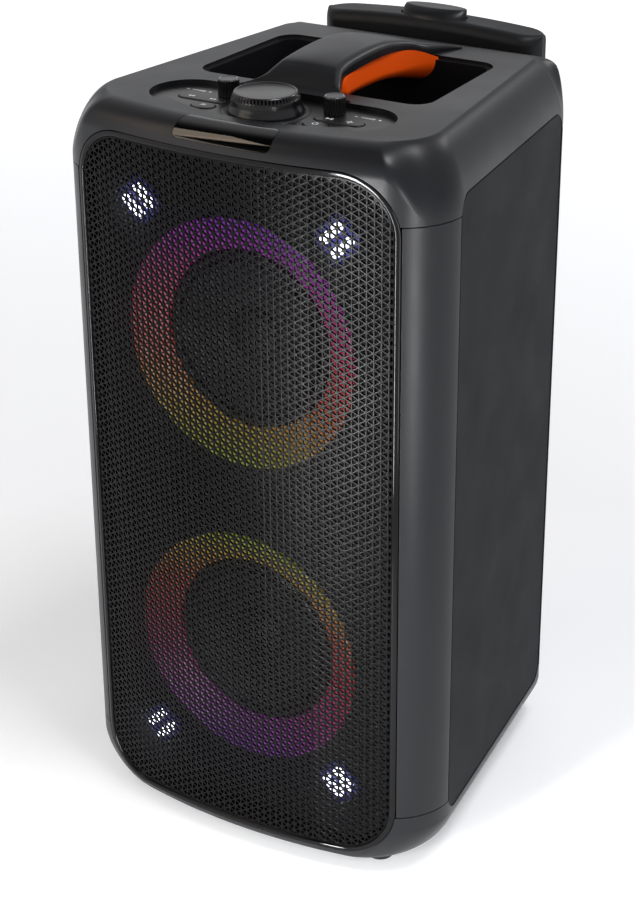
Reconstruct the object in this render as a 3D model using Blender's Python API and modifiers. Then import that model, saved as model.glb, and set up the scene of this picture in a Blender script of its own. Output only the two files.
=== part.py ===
"""Party speaker with two woofers, light rings, strobes, a carry handle and a trolley handle.

Units are metres, +Z is up, the front looks along -Y and +X is on the right of somebody facing it.
The origin is on the floor, in the middle of the speaker's length and depth.
"""
import bmesh
import bpy
from math import asin, atan2, cos, pi, radians, sin, sqrt
from mathutils import Matrix, Vector

MM = 0.001
GAP = 0.3 * MM

# overall form, seen from above: a bowed front, round front corners and sides that close towards the rear
FRONT_Y = -157.5 * MM
REAR_Y = 120 * MM
BOW_R = 460 * MM
CORNER_R = 45 * MM
REAR_R = 16 * MM
TAPER = radians(7.3)
HALF_WIDTH = 150 * MM
WIDEST_Y = -99 * MM
WALL = 4 * MM
PANEL_T = 3 * MM

# heights
BASE_Z = 7.5 * MM
LOW_SEAM_Z = 52 * MM
PANEL_LOW_Z = 42 * MM
PANEL_HIGH_Z = 517 * MM
HIGH_SEAM_Z = 504 * MM
TOP_Z = 554 * MM
DECK_Z = 550 * MM
SLAB_LOW_Z = 541 * MM
SHAFT_LOW_Z = 536 * MM

# rounded edges of the two caps: (inset from above, height, bend) at the front, side and rear. A bend of 1 is an
# ellipse and more is flatter. The edge goes from front to side over a turn in degrees.
TOP_EDGE = {"front": (22 * MM, 19 * MM, 1.0), "side": (22.7 * MM, 46 * MM, 1.25),
            "rear": (16 * MM, 8 * MM, 1.25), "corner": 34.6 * MM, "turn": 39}
BOTTOM_EDGE = {"front": (6.4 * MM, 25 * MM, 1.25), "side": (29 * MM, 32 * MM, 1.25),
               "rear": (14 * MM, 20 * MM, 1.25), "corner": 43 * MM, "turn": 17}

# grille and its bezel
BEZEL_HALF = 127 * MM
BEZEL_LOW_Z = 15 * MM
BEZEL_HIGH_Z = 538 * MM
BEZEL_R = 42 * MM
BEZEL_BAND = 4.5 * MM
BEZEL_DEPTH = 7 * MM
GRILLE_T = 1.6 * MM
GRILLE_SET = 1.5 * MM

# drivers and lamps
BAFFLE_Y = -133.5 * MM
BAFFLE_T = 12.5 * MM
WOOFER_Z = (156.5 * MM, 395.5 * MM)
RING_OUT_R = 88.6 * MM
RING_IN_R = 65.5 * MM
STROBE_X = 78.5 * MM
STROBE_Z = (65.5 * MM, 486.5 * MM)

# controls on the deck
VOLUME_Y = -96 * MM
VOLUME_R = 26 * MM
TONE_X = 42 * MM
TONE_Y = -77 * MM
TONE_R = 7.5 * MM
ROCKER_AT = (54 * MM, -91.5 * MM)
OVAL_AT = (44 * MM, -105.5 * MM)

# carry handle and its well
WELL_FRONT_Y = -42 * MM
WELL_REAR_Y = 71 * MM
WELL_HALF = (90 * MM, 86 * MM)
WELL_FLOOR_Z = 500 * MM

# trolley at the rear
TROLLEY_Y = 140.5 * MM
TUBE_X = 50 * MM
HOUSING_HALF = 86 * MM
HOUSING_REAR_Y = 154 * MM
HOUSING_HIGH_Z = 536 * MM
TROLLEY_GRIP_Z = (539 * MM, 560 * MM)
TROLLEY_CROWN = 4.5 * MM
BUTTON_HIGH_Z = 570 * MM

# wheels
WHEEL_X = 75 * MM
WHEEL_Y = 124.5 * MM
WHEEL_Z = 35 * MM
WHEEL_R = 32 * MM
WHEEL_T = 22 * MM

ROUND = 32
HIDDEN_ROUND = 20


# ---------------------------------------------------------------- helpers

def clear_scene():
    for thing in list(bpy.data.objects):
        bpy.data.objects.remove(thing, do_unlink=True)


def new_collection(name):
    group = bpy.data.collections.new(name)
    bpy.context.scene.collection.children.link(group)
    return group


def finish(name, colour, roughness, metallic=0.0, alpha=1.0):
    mat = bpy.data.materials.new(name)
    mat.use_nodes = True
    shader = mat.node_tree.nodes["Principled BSDF"]
    shader.inputs["Base Color"].default_value = (*colour, 1.0)
    shader.inputs["Roughness"].default_value = roughness
    shader.inputs["Metallic"].default_value = metallic
    shader.inputs["Alpha"].default_value = alpha
    return mat


def to_object(name, mesh, mat=None, at=(0, 0, 0), turn=(0, 0, 0), smooth=True):
    thing = bpy.data.objects.new(name, mesh)
    (PARTS if mat else CUTTERS).objects.link(thing)
    thing.location = at
    thing.rotation_euler = turn
    if mat:
        mesh.materials.append(mat)
    else:
        thing.hide_render = True
        thing.display_type = 'WIRE'
    if smooth and mesh.polygons:
        mesh.shade_smooth()
        mesh.set_sharp_from_angle(angle=radians(35))
    return thing


def from_bmesh(name, bm, mat=None, **place):
    bmesh.ops.recalc_face_normals(bm, faces=bm.faces)
    mesh = bpy.data.meshes.new(name)
    bm.to_mesh(mesh)
    bm.free()
    return to_object(name, mesh, mat, **place)


def box(name, low, high, mat=None, bevel=0.0, **place):
    """A block between two corners, with all its edges broken by a small bevel if one is given."""
    bm = bmesh.new()
    bmesh.ops.create_cube(bm, size=1.0)
    low, high = Vector(low), Vector(high)
    size = high - low
    bmesh.ops.scale(bm, vec=size, verts=bm.verts)
    bmesh.ops.translate(bm, vec=(low + high) / 2, verts=bm.verts)
    if bevel:
        bmesh.ops.bevel(bm, geom=bm.edges, offset=bevel, segments=2, affect='EDGES', profile=0.5)
    return from_bmesh(name, bm, mat, **place)


def prism(name, outline, low, high, mat=None, along='Z', bevel=0.0, **place):
    """An outline pushed along one axis; an (x, z) outline goes along Y."""
    bm = bmesh.new()
    if along == 'Z':
        verts = [bm.verts.new((u, v, low)) for u, v in outline]
        push = Vector((0, 0, high - low))
    else:
        verts = [bm.verts.new((u, low, v)) for u, v in outline]
        push = Vector((0, high - low, 0))
    face = bm.faces.new(verts)
    grown = bmesh.ops.extrude_face_region(bm, geom=[face])
    moved = [g for g in grown["geom"] if isinstance(g, bmesh.types.BMVert)]
    bmesh.ops.translate(bm, vec=push, verts=moved)
    if bevel:
        far = [e for e in bm.edges if all(v in moved for v in e.verts)]
        bmesh.ops.bevel(bm, geom=far, offset=bevel, segments=2, affect='EDGES', profile=0.5)
    return from_bmesh(name, bm, mat, **place)


def turned(name, profile, mat=None, steps=ROUND, ring=False, **place):
    """A profile of (radius, height) points, outer side top to bottom, turned about local Z."""
    mesh = bpy.data.meshes.new(name)
    edges = [(i, i + 1) for i in range(len(profile) - 1)]
    if ring:
        edges.append((len(profile) - 1, 0))
    mesh.from_pydata([(r, 0, z) for r, z in profile], edges, [])
    thing = to_object(name, mesh, mat, **place)
    screw = thing.modifiers.new("Turn", 'SCREW')
    screw.steps = steps
    screw.render_steps = steps
    screw.use_merge_vertices = True
    screw.merge_threshold = 0.00001
    screw.use_smooth_shade = True
    return thing


def loft(name, rings, mat=None, closed=True, **place):
    """Faces between rings of equal length, with a flat face over each end."""
    bm = bmesh.new()
    rows = [[bm.verts.new(p) for p in ring] for ring in rings]
    count = len(rows[0])
    for low, high in zip(rows, rows[1:]):
        for i in range(count):
            j = (i + 1) % count
            bm.faces.new((low[i], low[j], high[j], high[i]))
    if closed:
        bm.faces.new(rows[0])
        bm.faces.new(rows[-1])
    return from_bmesh(name, bm, mat, **place)


def combine(target, tool, how='DIFFERENCE'):
    step = target.modifiers.new(how.title(), 'BOOLEAN')
    step.operation = how
    step.object = tool
    step.solver = 'EXACT'


def rounded(corners, radius, steps=5):
    """A polygon with each corner replaced by an arc."""
    out = []
    count = len(corners)
    for i, corner in enumerate(corners):
        here = Vector(corner)
        back = (Vector(corners[i - 1]) - here).normalized()
        ahead = (Vector(corners[(i + 1) % count]) - here).normalized()
        half = back.angle(ahead) / 2
        centre = here + (back + ahead).normalized() * (radius / sin(half))
        start = here + back * (radius / (sin(half) / cos(half)))
        end = here + ahead * (radius / (sin(half) / cos(half)))
        first = atan2(start.y - centre.y, start.x - centre.x)
        sweep = (atan2(end.y - centre.y, end.x - centre.x) - first + pi) % (2 * pi) - pi
        for k in range(steps + 1):
            a = first + sweep * k / steps
            out.append((centre.x + radius * cos(a), centre.y + radius * sin(a)))
    return out


def rounded_box(half_x, low, high, radius, steps=5):
    return rounded([(-half_x, low), (half_x, low), (half_x, high), (-half_x, high)], radius, steps)


def ellipse(cx, cy, rx, ry, steps=24):
    return [(cx + rx * cos(2 * pi * k / steps), cy + ry * sin(2 * pi * k / steps)) for k in range(steps)]


def smooth_step(t):
    t = min(max(t, 0.0), 1.0)
    return t * t * (3 - 2 * t)


# ---------------------------------------------------------------- the form from above

SIDE_OUT = Vector((cos(TAPER), sin(TAPER)))
SIDE_BACK = Vector((-sin(TAPER), cos(TAPER)))
CORNER_C = Vector((HALF_WIDTH - CORNER_R, WIDEST_Y))
SIDE_DIST = SIDE_OUT.dot(CORNER_C) + CORNER_R
BOW_C = Vector((0, FRONT_Y + BOW_R))


def plan(front=0.0, side=0.0, rear=0.0, r_front=CORNER_R, r_rear=REAR_R):
    """The outline moved inwards by three insets, as (x, y, direction it faces in degrees)."""
    bow_r = BOW_R - front
    across = SIDE_DIST - side - r_front
    reach = bow_r - r_front
    along = SIDE_BACK.dot(BOW_C) - sqrt(reach ** 2 - (across - SIDE_OUT.dot(BOW_C)) ** 2)
    corner = SIDE_OUT * across + SIDE_BACK * along
    meet = atan2(corner.x, BOW_C.y - corner.y)
    turn_side = pi / 2 + TAPER
    rear_y = REAR_Y - rear - r_rear
    rear_x = (SIDE_DIST - side - r_rear - SIDE_OUT.y * rear_y) / SIDE_OUT.x
    half = [(BOW_C, bow_r, meet * k / 5) for k in range(5)]
    half += [(corner, r_front, meet + (turn_side - meet) * k / 8) for k in range(9)]
    half += [(Vector((rear_x, rear_y)), r_rear, turn_side + (pi - turn_side) * k / 5) for k in range(6)]
    right = [(c[0] + r * sin(a), c[1] - r * cos(a), a * 180 / pi) for c, r, a in half]
    left = [(-x, y, a) for x, y, a in reversed(right[1:])]
    return right + left


def edge_shape(facing, edge):
    """Height and bend of a cap's rounded edge where the outline faces a given way."""
    if facing < 90:
        near, far, t = edge["front"], edge["side"], smooth_step((facing - 12) / edge["turn"])
    else:
        near, far, t = edge["side"], edge["rear"], smooth_step((facing - 105) / 70)
    return [near[k] + (far[k] - near[k]) * t for k in (1, 2)]


def rounded_cap(name, seam, flat, edge, mat):
    """A cap's outer skin from its straight seam to its flat face, with an elliptic edge between."""
    outer = plan()
    inner = plan(*(edge[key][0] for key in ("front", "side", "rear")), r_front=edge["corner"], r_rear=12 * MM)
    way = 1 if flat > seam else -1
    rings = [[(x, y, seam) for x, y, _ in outer]]
    for k in range(7):
        a = pi / 2 * k / 6
        ring = []
        for (x0, y0, facing), (x1, y1, _) in zip(outer, inner):
            height, bend = edge_shape(facing, edge)
            t = 1 - cos(a) ** bend
            z = flat - way * height * (1 - sin(a) ** bend)
            ring.append((x0 + (x1 - x0) * t, y0 + (y1 - y0) * t, z))
        rings.append(ring)
    return loft(name, rings, mat)


def front_y(x):
    """Where the outer face of the front is, at a distance x from the middle."""
    x = abs(x)
    meet_x = BOW_R * CORNER_C.x / (BOW_R - CORNER_R)
    if x <= meet_x:
        return BOW_C.y - sqrt(BOW_R ** 2 - x ** 2)
    return CORNER_C.y - sqrt(CORNER_R ** 2 - (x - CORNER_C.x) ** 2)


def side_point(y, out=0.0):
    """A point of the right side face at y, moved outwards."""
    x = (SIDE_DIST + out - SIDE_OUT.y * y) / SIDE_OUT.x
    return Vector((x, y))


# ---------------------------------------------------------------- casing

def front_opening():
    outline = rounded_box(BEZEL_HALF + GAP, BEZEL_LOW_Z - GAP, BEZEL_HIGH_Z + GAP, BEZEL_R + GAP, 8)
    return prism("cut_front_opening", outline, FRONT_Y - 10 * MM, BAFFLE_Y + 5.5 * MM, along='Y')


def side_opening(way):
    """The notch in the caps that a side panel drops into."""
    return side_plate(f"cut_side_{way}", way, GAP, 15 * MM, 10 * MM)


def side_plate(name, way, grow, thick, out, mat=None):
    """A flat plate along one side, rounded at its front corners."""
    length = (WIDEST_Y - grow, side_point(REAR_Y - REAR_R).y + 2 * MM + grow)
    low, high = PANEL_LOW_Z - grow, PANEL_HIGH_Z + grow
    corners = [(length[0], low), (length[1], low), (length[1], high), (length[0], high)]
    outline = rounded(corners, 13 * MM + grow, 4)
    bm = bmesh.new()
    faces = []
    for depth in (out, out - thick):
        points = [side_point(y, depth) for y, _ in outline]
        faces.append([bm.verts.new((way * p.x, p.y, z)) for p, (_, z) in zip(points, outline)])
    count = len(outline)
    for i in range(count):
        j = (i + 1) % count
        bm.faces.new((faces[0][i], faces[0][j], faces[1][j], faces[1][i]))
    bm.faces.new(faces[0])
    bm.faces.new(faces[1])
    return from_bmesh(name, bm, mat)


def deck_outline(grow=0.0):
    """The kidney-shaped recess round the controls: straight behind, bowed in front."""
    rear_y, end_x, end_r, crest = -62 * MM, 65 * MM, 28 * MM, -127 * MM
    end_y = rear_y - end_r
    bow = 146 * MM
    bow_y = crest + bow
    reach = sqrt(end_x ** 2 + (bow_y - end_y) ** 2)
    bow = reach + end_r
    bow_y = crest + bow
    lean = atan2(end_x, bow_y - end_y)
    right = [(end_x + (end_r + grow) * cos(a), end_y + (end_r + grow) * sin(a))
             for a in [-pi / 2 + lean + (pi - lean) * k / 8 for k in range(9)]]
    front = [((bow + grow) * sin(lean * k / 5), bow_y - (bow + grow) * cos(lean * k / 5)) for k in range(-4, 5)]
    left = [(-x, y) for x, y in reversed(right)]
    return front + right + left


def well_outline(grow=0.0):
    front, rear = WELL_HALF
    corners = [(-front - grow, WELL_FRONT_Y - grow), (front + grow, WELL_FRONT_Y - grow),
               (rear + grow, WELL_REAR_Y + grow), (-rear - grow, WELL_REAR_Y + grow)]
    return rounded(corners, 12 * MM + grow, 4)


def pill(cx, cy, half, r, steps=6):
    right = [(cx + half - r + r * cos(a), cy + r * sin(a)) for a in [pi * (k / steps - 0.5) for k in range(steps + 1)]]
    left = [(2 * cx - x, 2 * cy - y) for x, y in right]
    return right + left


def brow(turn, lift, out):
    """A point on the rounded front edge of the top cap, 'turn' round the bow and 'lift' up the edge."""
    inset, height, _ = TOP_EDGE["front"]
    radial = BOW_R - inset * (1 - cos(lift)) + out * cos(lift)
    z = TOP_Z - height * (1 - sin(lift)) + out * sin(lift)
    return (BOW_C.x + radial * sin(turn), BOW_C.y - radial * cos(turn), z)


def brow_patch(name, half_x, lifts, outs, mat=None):
    """A curved slab that lies on the brow, between two depths."""
    cols, rows = 8, 4
    turns = [half_x / BOW_R * (2 * k / cols - 1) for k in range(cols + 1)]
    steps = [lifts[0] + (lifts[1] - lifts[0]) * k / rows for k in range(rows + 1)]
    rings = []
    for turn in turns:
        ring = [brow(turn, lift, outs[0]) for lift in steps]
        ring += [brow(turn, lift, outs[1]) for lift in reversed(steps)]
        rings.append(ring)
    return loft(name, rings, mat)


def make_casing():
    opening = front_opening()
    notches = [side_opening(way) for way in (-1, 1)]

    top = rounded_cap("top_cap", HIGH_SEAM_Z + GAP, TOP_Z, TOP_EDGE, ABS_SATIN)
    hollow = [[(x, y, z) for x, y, _ in plan(*inset)] for z, inset in (
        (HIGH_SEAM_Z - WALL, (WALL, WALL, WALL, CORNER_R - WALL, REAR_R - WALL)),
        (HIGH_SEAM_Z + 4 * WALL, (WALL, WALL, WALL, CORNER_R - WALL, REAR_R - WALL)),
        (SLAB_LOW_Z, (2 * WALL, 5 * WALL, 2 * WALL, 46 * MM, 12 * MM)))]
    combine(top, loft("cut_top_hollow", hollow))
    combine(top, opening)
    for notch in notches:
        combine(top, notch)
    combine(top, prism("cut_deck", deck_outline(), DECK_Z, TOP_Z + WALL))
    combine(top, prism("cut_well", well_outline(), SLAB_LOW_Z - WALL, TOP_Z + WALL))
    combine(top, prism("cut_well_rim", well_outline(2.5 * MM), TOP_Z - 2.5 * MM, TOP_Z + WALL))
    combine(top, brow_patch("cut_display", 38.4 * MM, (radians(24.2), radians(88.6)), (3 * MM, -2 * MM)))
    combine(top, turned("cut_volume_shaft", [(0, 570 * MM), (6 * MM, 570 * MM), (6 * MM, 530 * MM), (0, 530 * MM)],
                        steps=20, at=(0, VOLUME_Y, 0)))
    for way, word in ((-1, "left"), (1, "right")):
        combine(top, turned(f"cut_tone_shaft_{word}", [(0, 570 * MM), (4 * MM, 570 * MM), (4 * MM, 530 * MM),
                            (0, 530 * MM)], steps=16, at=(way * TONE_X, TONE_Y, 0)))
        combine(top, prism(f"cut_rocker_{word}", pill(way * ROCKER_AT[0], ROCKER_AT[1], 19.1 * MM, 5.6 * MM),
                           530 * MM, 570 * MM))
        combine(top, prism(f"cut_oval_{word}", ellipse(way * OVAL_AT[0], OVAL_AT[1], 9.4 * MM, 6.9 * MM),
                           530 * MM, 570 * MM))

    bottom = rounded_cap("bottom_cap", LOW_SEAM_Z - GAP, BASE_Z, BOTTOM_EDGE, ABS_SATIN)
    hollow = [[(x, y, z) for x, y, _ in plan(*inset)] for z, inset in (
        (LOW_SEAM_Z + WALL, (WALL, WALL, WALL, CORNER_R - WALL, REAR_R - WALL)),
        (LOW_SEAM_Z - 2 * WALL, (WALL, WALL, WALL, CORNER_R - WALL, REAR_R - WALL)),
        (BASE_Z + WALL, (20 * MM, 24 * MM, 16 * MM, 24 * MM, 12 * MM)))]
    combine(bottom, loft("cut_bottom_hollow", hollow))
    combine(bottom, opening)
    for notch in notches:
        combine(bottom, notch)
    for arch in ARCHES:
        combine(bottom, arch)

    for way, word in ((-1, "left"), (1, "right")):
        side_plate(f"side_panel_{word}", way, 0, PANEL_T, -0.4 * MM, ABS_TEXTURED)
        make_corner_strip(way, word)


def make_corner_strip(way, word):
    """The rounded front corner between the caps, from the bezel to the side panel."""
    end = radians(90) - 2 * GAP / CORNER_R
    section = []
    for r, order in ((CORNER_R, 1), (CORNER_R - PANEL_T, -1)):
        start = asin((BEZEL_HALF + 2 * GAP - CORNER_C.x) / r)
        angles = [start + (end - start) * k / 8 for k in range(9)][::order]
        section += [(CORNER_C.x + r * sin(a), CORNER_C.y - r * cos(a)) for a in angles]
    prism(f"corner_strip_{word}", [(way * x, y) for x, y in section],
          LOW_SEAM_Z + GAP, HIGH_SEAM_Z - GAP, ABS_SATIN)


def make_rear_panel():
    """A moulded back that wraps both rear corners, with openings for the port and the sockets."""
    join = side_point(REAR_Y - REAR_R).y + 2 * MM + 2 * GAP
    outer = [(x, y) for x, y, _ in plan() if y > join]
    inner = [(x, y) for x, y, _ in plan(PANEL_T, PANEL_T, PANEL_T, CORNER_R, REAR_R - PANEL_T) if y > join]
    for row, out in ((outer, 0), (inner, -PANEL_T)):
        edge = side_point(join, out)
        row.insert(0, (edge.x, join))
        row.append((-edge.x, join))
    panel = prism("rear_panel", outer + inner[::-1], LOW_SEAM_Z + GAP, HIGH_SEAM_Z - GAP, ABS_TEXTURED)
    for arch in ARCHES:
        combine(panel, arch)
    combine(panel, PORT_HOLE)
    combine(panel, box("cut_socket_bay", (-32 * MM, 112 * MM, 248 * MM), (32 * MM, 125 * MM, 402 * MM)))


def make_bezel_and_grille():
    def on_front(outline, depth):
        return [(x, front_y(x) + depth, z) for x, z in outline]

    outer = rounded_box(BEZEL_HALF, BEZEL_LOW_Z, BEZEL_HIGH_Z, BEZEL_R, 7)
    inner = rounded_box(BEZEL_HALF - BEZEL_BAND, BEZEL_LOW_Z + BEZEL_BAND, BEZEL_HIGH_Z - BEZEL_BAND,
                        BEZEL_R - BEZEL_BAND, 7)
    outer, inner = add_columns(outer), add_columns(inner)
    rings = [on_front(outer, 0), on_front(inner, 0), on_front(inner, BEZEL_DEPTH), on_front(outer, BEZEL_DEPTH)]
    rings.append(rings[0])
    bm = bmesh.new()
    rows = [[bm.verts.new(p) for p in ring] for ring in rings[:-1]]
    rows.append(rows[0])
    count = len(outer)
    for low, high in zip(rows, rows[1:]):
        for i in range(count):
            j = (i + 1) % count
            bm.faces.new((low[i], low[j], high[j], high[i]))
    from_bmesh("grille_bezel", bm, ABS_GLOSS)

    mesh_edge = BEZEL_BAND + GAP
    outline = rounded_box(BEZEL_HALF - mesh_edge, BEZEL_LOW_Z + mesh_edge, BEZEL_HIGH_Z - mesh_edge,
                          BEZEL_R - mesh_edge, 7)
    bm = bmesh.new()
    face = bm.faces.new([bm.verts.new((x, 0, z)) for x, z in outline])
    for k in range(-5, 6):
        bmesh.ops.bisect_plane(bm, geom=bm.verts[:] + bm.edges[:] + bm.faces[:], dist=1e-6,
                               plane_co=(k * 20 * MM, 0, 0), plane_no=(1, 0, 0))
    for vert in bm.verts:
        vert.co.y = front_y(vert.co.x) + GRILLE_SET
    grown = bmesh.ops.extrude_face_region(bm, geom=bm.faces[:])
    moved = [g for g in grown["geom"] if isinstance(g, bmesh.types.BMVert)]
    bmesh.ops.translate(bm, vec=(0, GRILLE_T, 0), verts=moved)
    from_bmesh("grille", bm, STEEL_BLACK)


def add_columns(outline):
    """Splits the long level runs of an outline so that they can follow the bow."""
    out = []
    for i, (x, z) in enumerate(outline):
        out.append((x, z))
        x2, z2 = outline[(i + 1) % len(outline)]
        if abs(x2 - x) > 60 * MM:
            out += [(x + (x2 - x) * k / 9, z + (z2 - z) * k / 9) for k in range(1, 9)]
    return out


# ---------------------------------------------------------------- drivers, light rings and strobes

FACING = (pi / 2, 0, 0)


def make_drivers():
    board = prism("front_baffle", rounded_box(116 * MM, 20 * MM, 530 * MM, 34 * MM), BAFFLE_Y, BAFFLE_Y + BAFFLE_T,
                  BOARD_BLACK, along='Y')
    for word, z in zip(("lower", "upper"), WOOFER_Z):
        place = {"at": (0, BAFFLE_Y, z), "turn": FACING}
        hole = RING_OUT_R - 1.4 * MM
        combine(board, turned(f"cut_woofer_{word}", [(0, 9 * MM), (hole, 9 * MM), (hole, -20 * MM), (0, -20 * MM)],
                              **place))
        turned(f"light_ring_{word}", [
            (RING_OUT_R + 2.4 * MM, 2.3 * MM), (RING_OUT_R + 2.4 * MM, GAP), (RING_OUT_R - 2.4 * MM, GAP),
            (RING_IN_R, -12 * MM), (RING_IN_R, -10.4 * MM), (RING_OUT_R, 2.3 * MM)], DIFFUSER, ring=True, **place)
        back = -BAFFLE_T - GAP
        basket = turned(f"woofer_basket_{word}", [
            (94 * MM, back), (94 * MM, back - 3 * MM), (80 * MM, back - 3 * MM), (70 * MM, back - 14 * MM),
            (43 * MM, back - 38 * MM), (22 * MM, back - 38 * MM), (22 * MM, back - 36 * MM),
            (41 * MM, back - 36 * MM), (67.5 * MM, back - 13 * MM), (68 * MM, back - 3 * MM),
            (62 * MM, back - 3 * MM), (62 * MM, back)], STEEL_BLACK, ring=True, steps=HIDDEN_ROUND, **place)
        for k in range(2):
            turn_bar = pi / 4 + k * pi / 2
            bar = box(f"cut_basket_{word}_{k}", (-90 * MM, -17 * MM, -33 * MM), (90 * MM, 17 * MM, -18 * MM),
                      at=(0, BAFFLE_Y - back, z))
            bar.matrix_world = (Matrix.Translation((0, BAFFLE_Y + BAFFLE_T, z)) @ Matrix.Rotation(turn_bar, 4, 'Y')
                                @ Matrix.Rotation(pi / 2, 4, 'X'))
            combine(basket, bar)
        rear = back - 38 * MM - GAP
        turned(f"woofer_magnet_{word}", [
            (0, rear), (40 * MM, rear), (42 * MM, rear - 2 * MM), (42 * MM, rear - 18 * MM),
            (36 * MM, rear - 22 * MM), (0, rear - 22 * MM)], FERRITE, steps=HIDDEN_ROUND, **place)
        edge, neck = 56.3 * MM, 16 * MM
        turned(f"woofer_cone_{word}", [
            (0, 26 * MM - 30 * MM), (8 * MM, -5.5 * MM), (15 * MM, -10 * MM), (edge - 1.5 * MM, 13.4 * MM - 15 * MM),
            (edge, -2 * MM), (edge, -3.2 * MM), (neck + 1 * MM, -13 * MM), (neck, -26 * MM),
            (neck - 1.4 * MM, -26 * MM), (neck - 1.6 * MM, -12 * MM), (7.5 * MM, -7.2 * MM), (0, -5.6 * MM)],
            PAPER, steps=HIDDEN_ROUND, at=(0, BAFFLE_Y + 8.5 * MM, z), turn=FACING)
        roll_r, roll_c, lip = 3.7 * MM, 60.6 * MM, -BAFFLE_T
        arch_out = [(roll_c + roll_r * cos(a), lip + roll_r * sin(a)) for a in [pi * k / 4 for k in range(5)]]
        arch_in = [(roll_c + (roll_r - 1 * MM) * cos(a), lip + (roll_r - 1 * MM) * sin(a))
                   for a in [pi * k / 4 for k in range(5)]]
        turned(f"woofer_surround_{word}", arch_in + arch_out[::-1], RUBBER, ring=True, steps=HIDDEN_ROUND, **place)

    for row, z in zip(("lower", "upper"), STROBE_Z):
        for way, word in ((-1, "left"), (1, "right")):
            make_strobe(f"strobe_{row}_{word}", way * STROBE_X, z, board)


def make_strobe(name, x, z, board):
    """A lamp holder with two lens bars laid square to the line from the middle of the front."""
    lean = pi / 4 * (1 if (x > 0) == (z < WOOFER_Z[1]) else -1)
    bm = bmesh.new()
    plate = rounded_box(15 * MM, -14 * MM, 14 * MM, 5 * MM, 3)
    verts = [bm.verts.new((u, -GAP, v)) for u, v in plate]
    face = bm.faces.new(verts)
    grown = bmesh.ops.extrude_face_region(bm, geom=[face])
    moved = [g for g in grown["geom"] if isinstance(g, bmesh.types.BMVert)]
    bmesh.ops.translate(bm, vec=(0, -2 * MM, 0), verts=moved)
    lamp = from_bmesh(name, bm, LAMP_LENS, at=(x, BAFFLE_Y, z), turn=(0, lean, 0))
    for k, v in enumerate((-6.5 * MM, 6.5 * MM)):
        bar = prism(f"join_{name}_{k}", pill(0, v, 10 * MM, 3 * MM, 4), -5.5 * MM, -1.5 * MM, along='Y',
                    at=(x, BAFFLE_Y, z), turn=(0, lean, 0))
        combine(lamp, bar, 'UNION')


# ---------------------------------------------------------------- controls

def make_volume_knob(low, high):
    """A dished knob with a chamfered rim and a flared skirt, on its shaft."""
    top = VOLUME_R * 0.92
    tall = high - low
    shaft = 4.2 * MM
    turned("volume_knob", [
        (0, high - 1.6 * MM), (top * 0.78, high - 1.0 * MM), (top * 0.84, high), (top * 0.93, high),
        (top, high - tall * 0.13), (top, high - tall * 0.42), (VOLUME_R, low + tall * 0.12), (VOLUME_R, low),
        (shaft, low), (shaft, SHAFT_LOW_Z), (0, SHAFT_LOW_Z)], ABS_GLOSS, at=(0, VOLUME_Y, 0))


def make_controls():
    floor = DECK_Z + 0.5 * MM
    make_volume_knob(floor, 565 * MM)
    for way, word in ((-1, "bass_knob"), (1, "treble_knob")):
        r, high = TONE_R, 563 * MM
        turned(word, [
            (0, high - 0.8 * MM), (r * 0.72, high - 0.6 * MM), (r * 0.8, high), (r * 0.88, high),
            (r, high - 1.2 * MM), (r, floor), (2.4 * MM, floor), (2.4 * MM, SHAFT_LOW_Z),
            (0, SHAFT_LOW_Z)], ABS_GLOSS, steps=20, at=(way * TONE_X, TONE_Y, 0))

    key_low = SLAB_LOW_Z + 2 * MM
    for way, word in ((-1, "left"), (1, "right")):
        x, y = ROCKER_AT
        prism(f"rocker_{word}", pill(0, 0, 18.5 * MM, 5 * MM), key_low - 547 * MM, 4.2 * MM, ABS_GLOSS,
              bevel=0.8 * MM, at=(way * x, y, 547 * MM))
        x, y = OVAL_AT
        name = "power_button" if way > 0 else "mode_button"
        prism(name, ellipse(0, 0, 9 * MM, 6.5 * MM), key_low - 547 * MM, 4.2 * MM, ABS_GLOSS,
              bevel=0.8 * MM, at=(way * x, y, 547 * MM))

    low, high = SLAB_LOW_Z - 14 * MM, SLAB_LOW_Z - 12.4 * MM
    outline = rounded([(-76 * MM, -120 * MM), (76 * MM, -120 * MM), (76 * MM, -66 * MM), (-76 * MM, -66 * MM)],
                      4 * MM, 2)
    board = prism("control_board", outline, low, high, BOARD_GREEN)
    for k, (x, y, r) in enumerate(((0, VOLUME_Y, 9 * MM), (-TONE_X, TONE_Y, 7 * MM), (TONE_X, TONE_Y, 7 * MM))):
        combine(board, turned(f"join_pot_{k}", [(0, SLAB_LOW_Z - 5.4 * MM), (r, SLAB_LOW_Z - 5.4 * MM),
                              (r, high - 0.5 * MM), (0, high - 0.5 * MM)], steps=16, at=(x, y, 0)), 'UNION')
    lifts = (radians(25), radians(87.9))
    brow_patch("display_lens", 38 * MM, lifts, (-0.1 * MM, -1.7 * MM), LENS_SMOKED)


# ---------------------------------------------------------------- carry handle

def handle_section(y, half, low, high, soft):
    """One cross-section of the handle: flat below, crowned above, with round shoulders."""
    points = [(-half, low), (half, low)]
    for k in range(5):
        a = pi / 2 * k / 4
        points.append((half - soft * (1 - cos(a)), high - soft * 0.7 * (1 - sin(a))))
    points.append((0, high + soft * 0.12))
    points += [(-x, z) for x, z in reversed(points[2:-1])]
    return [(x, y, z) for x, z in points]


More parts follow.
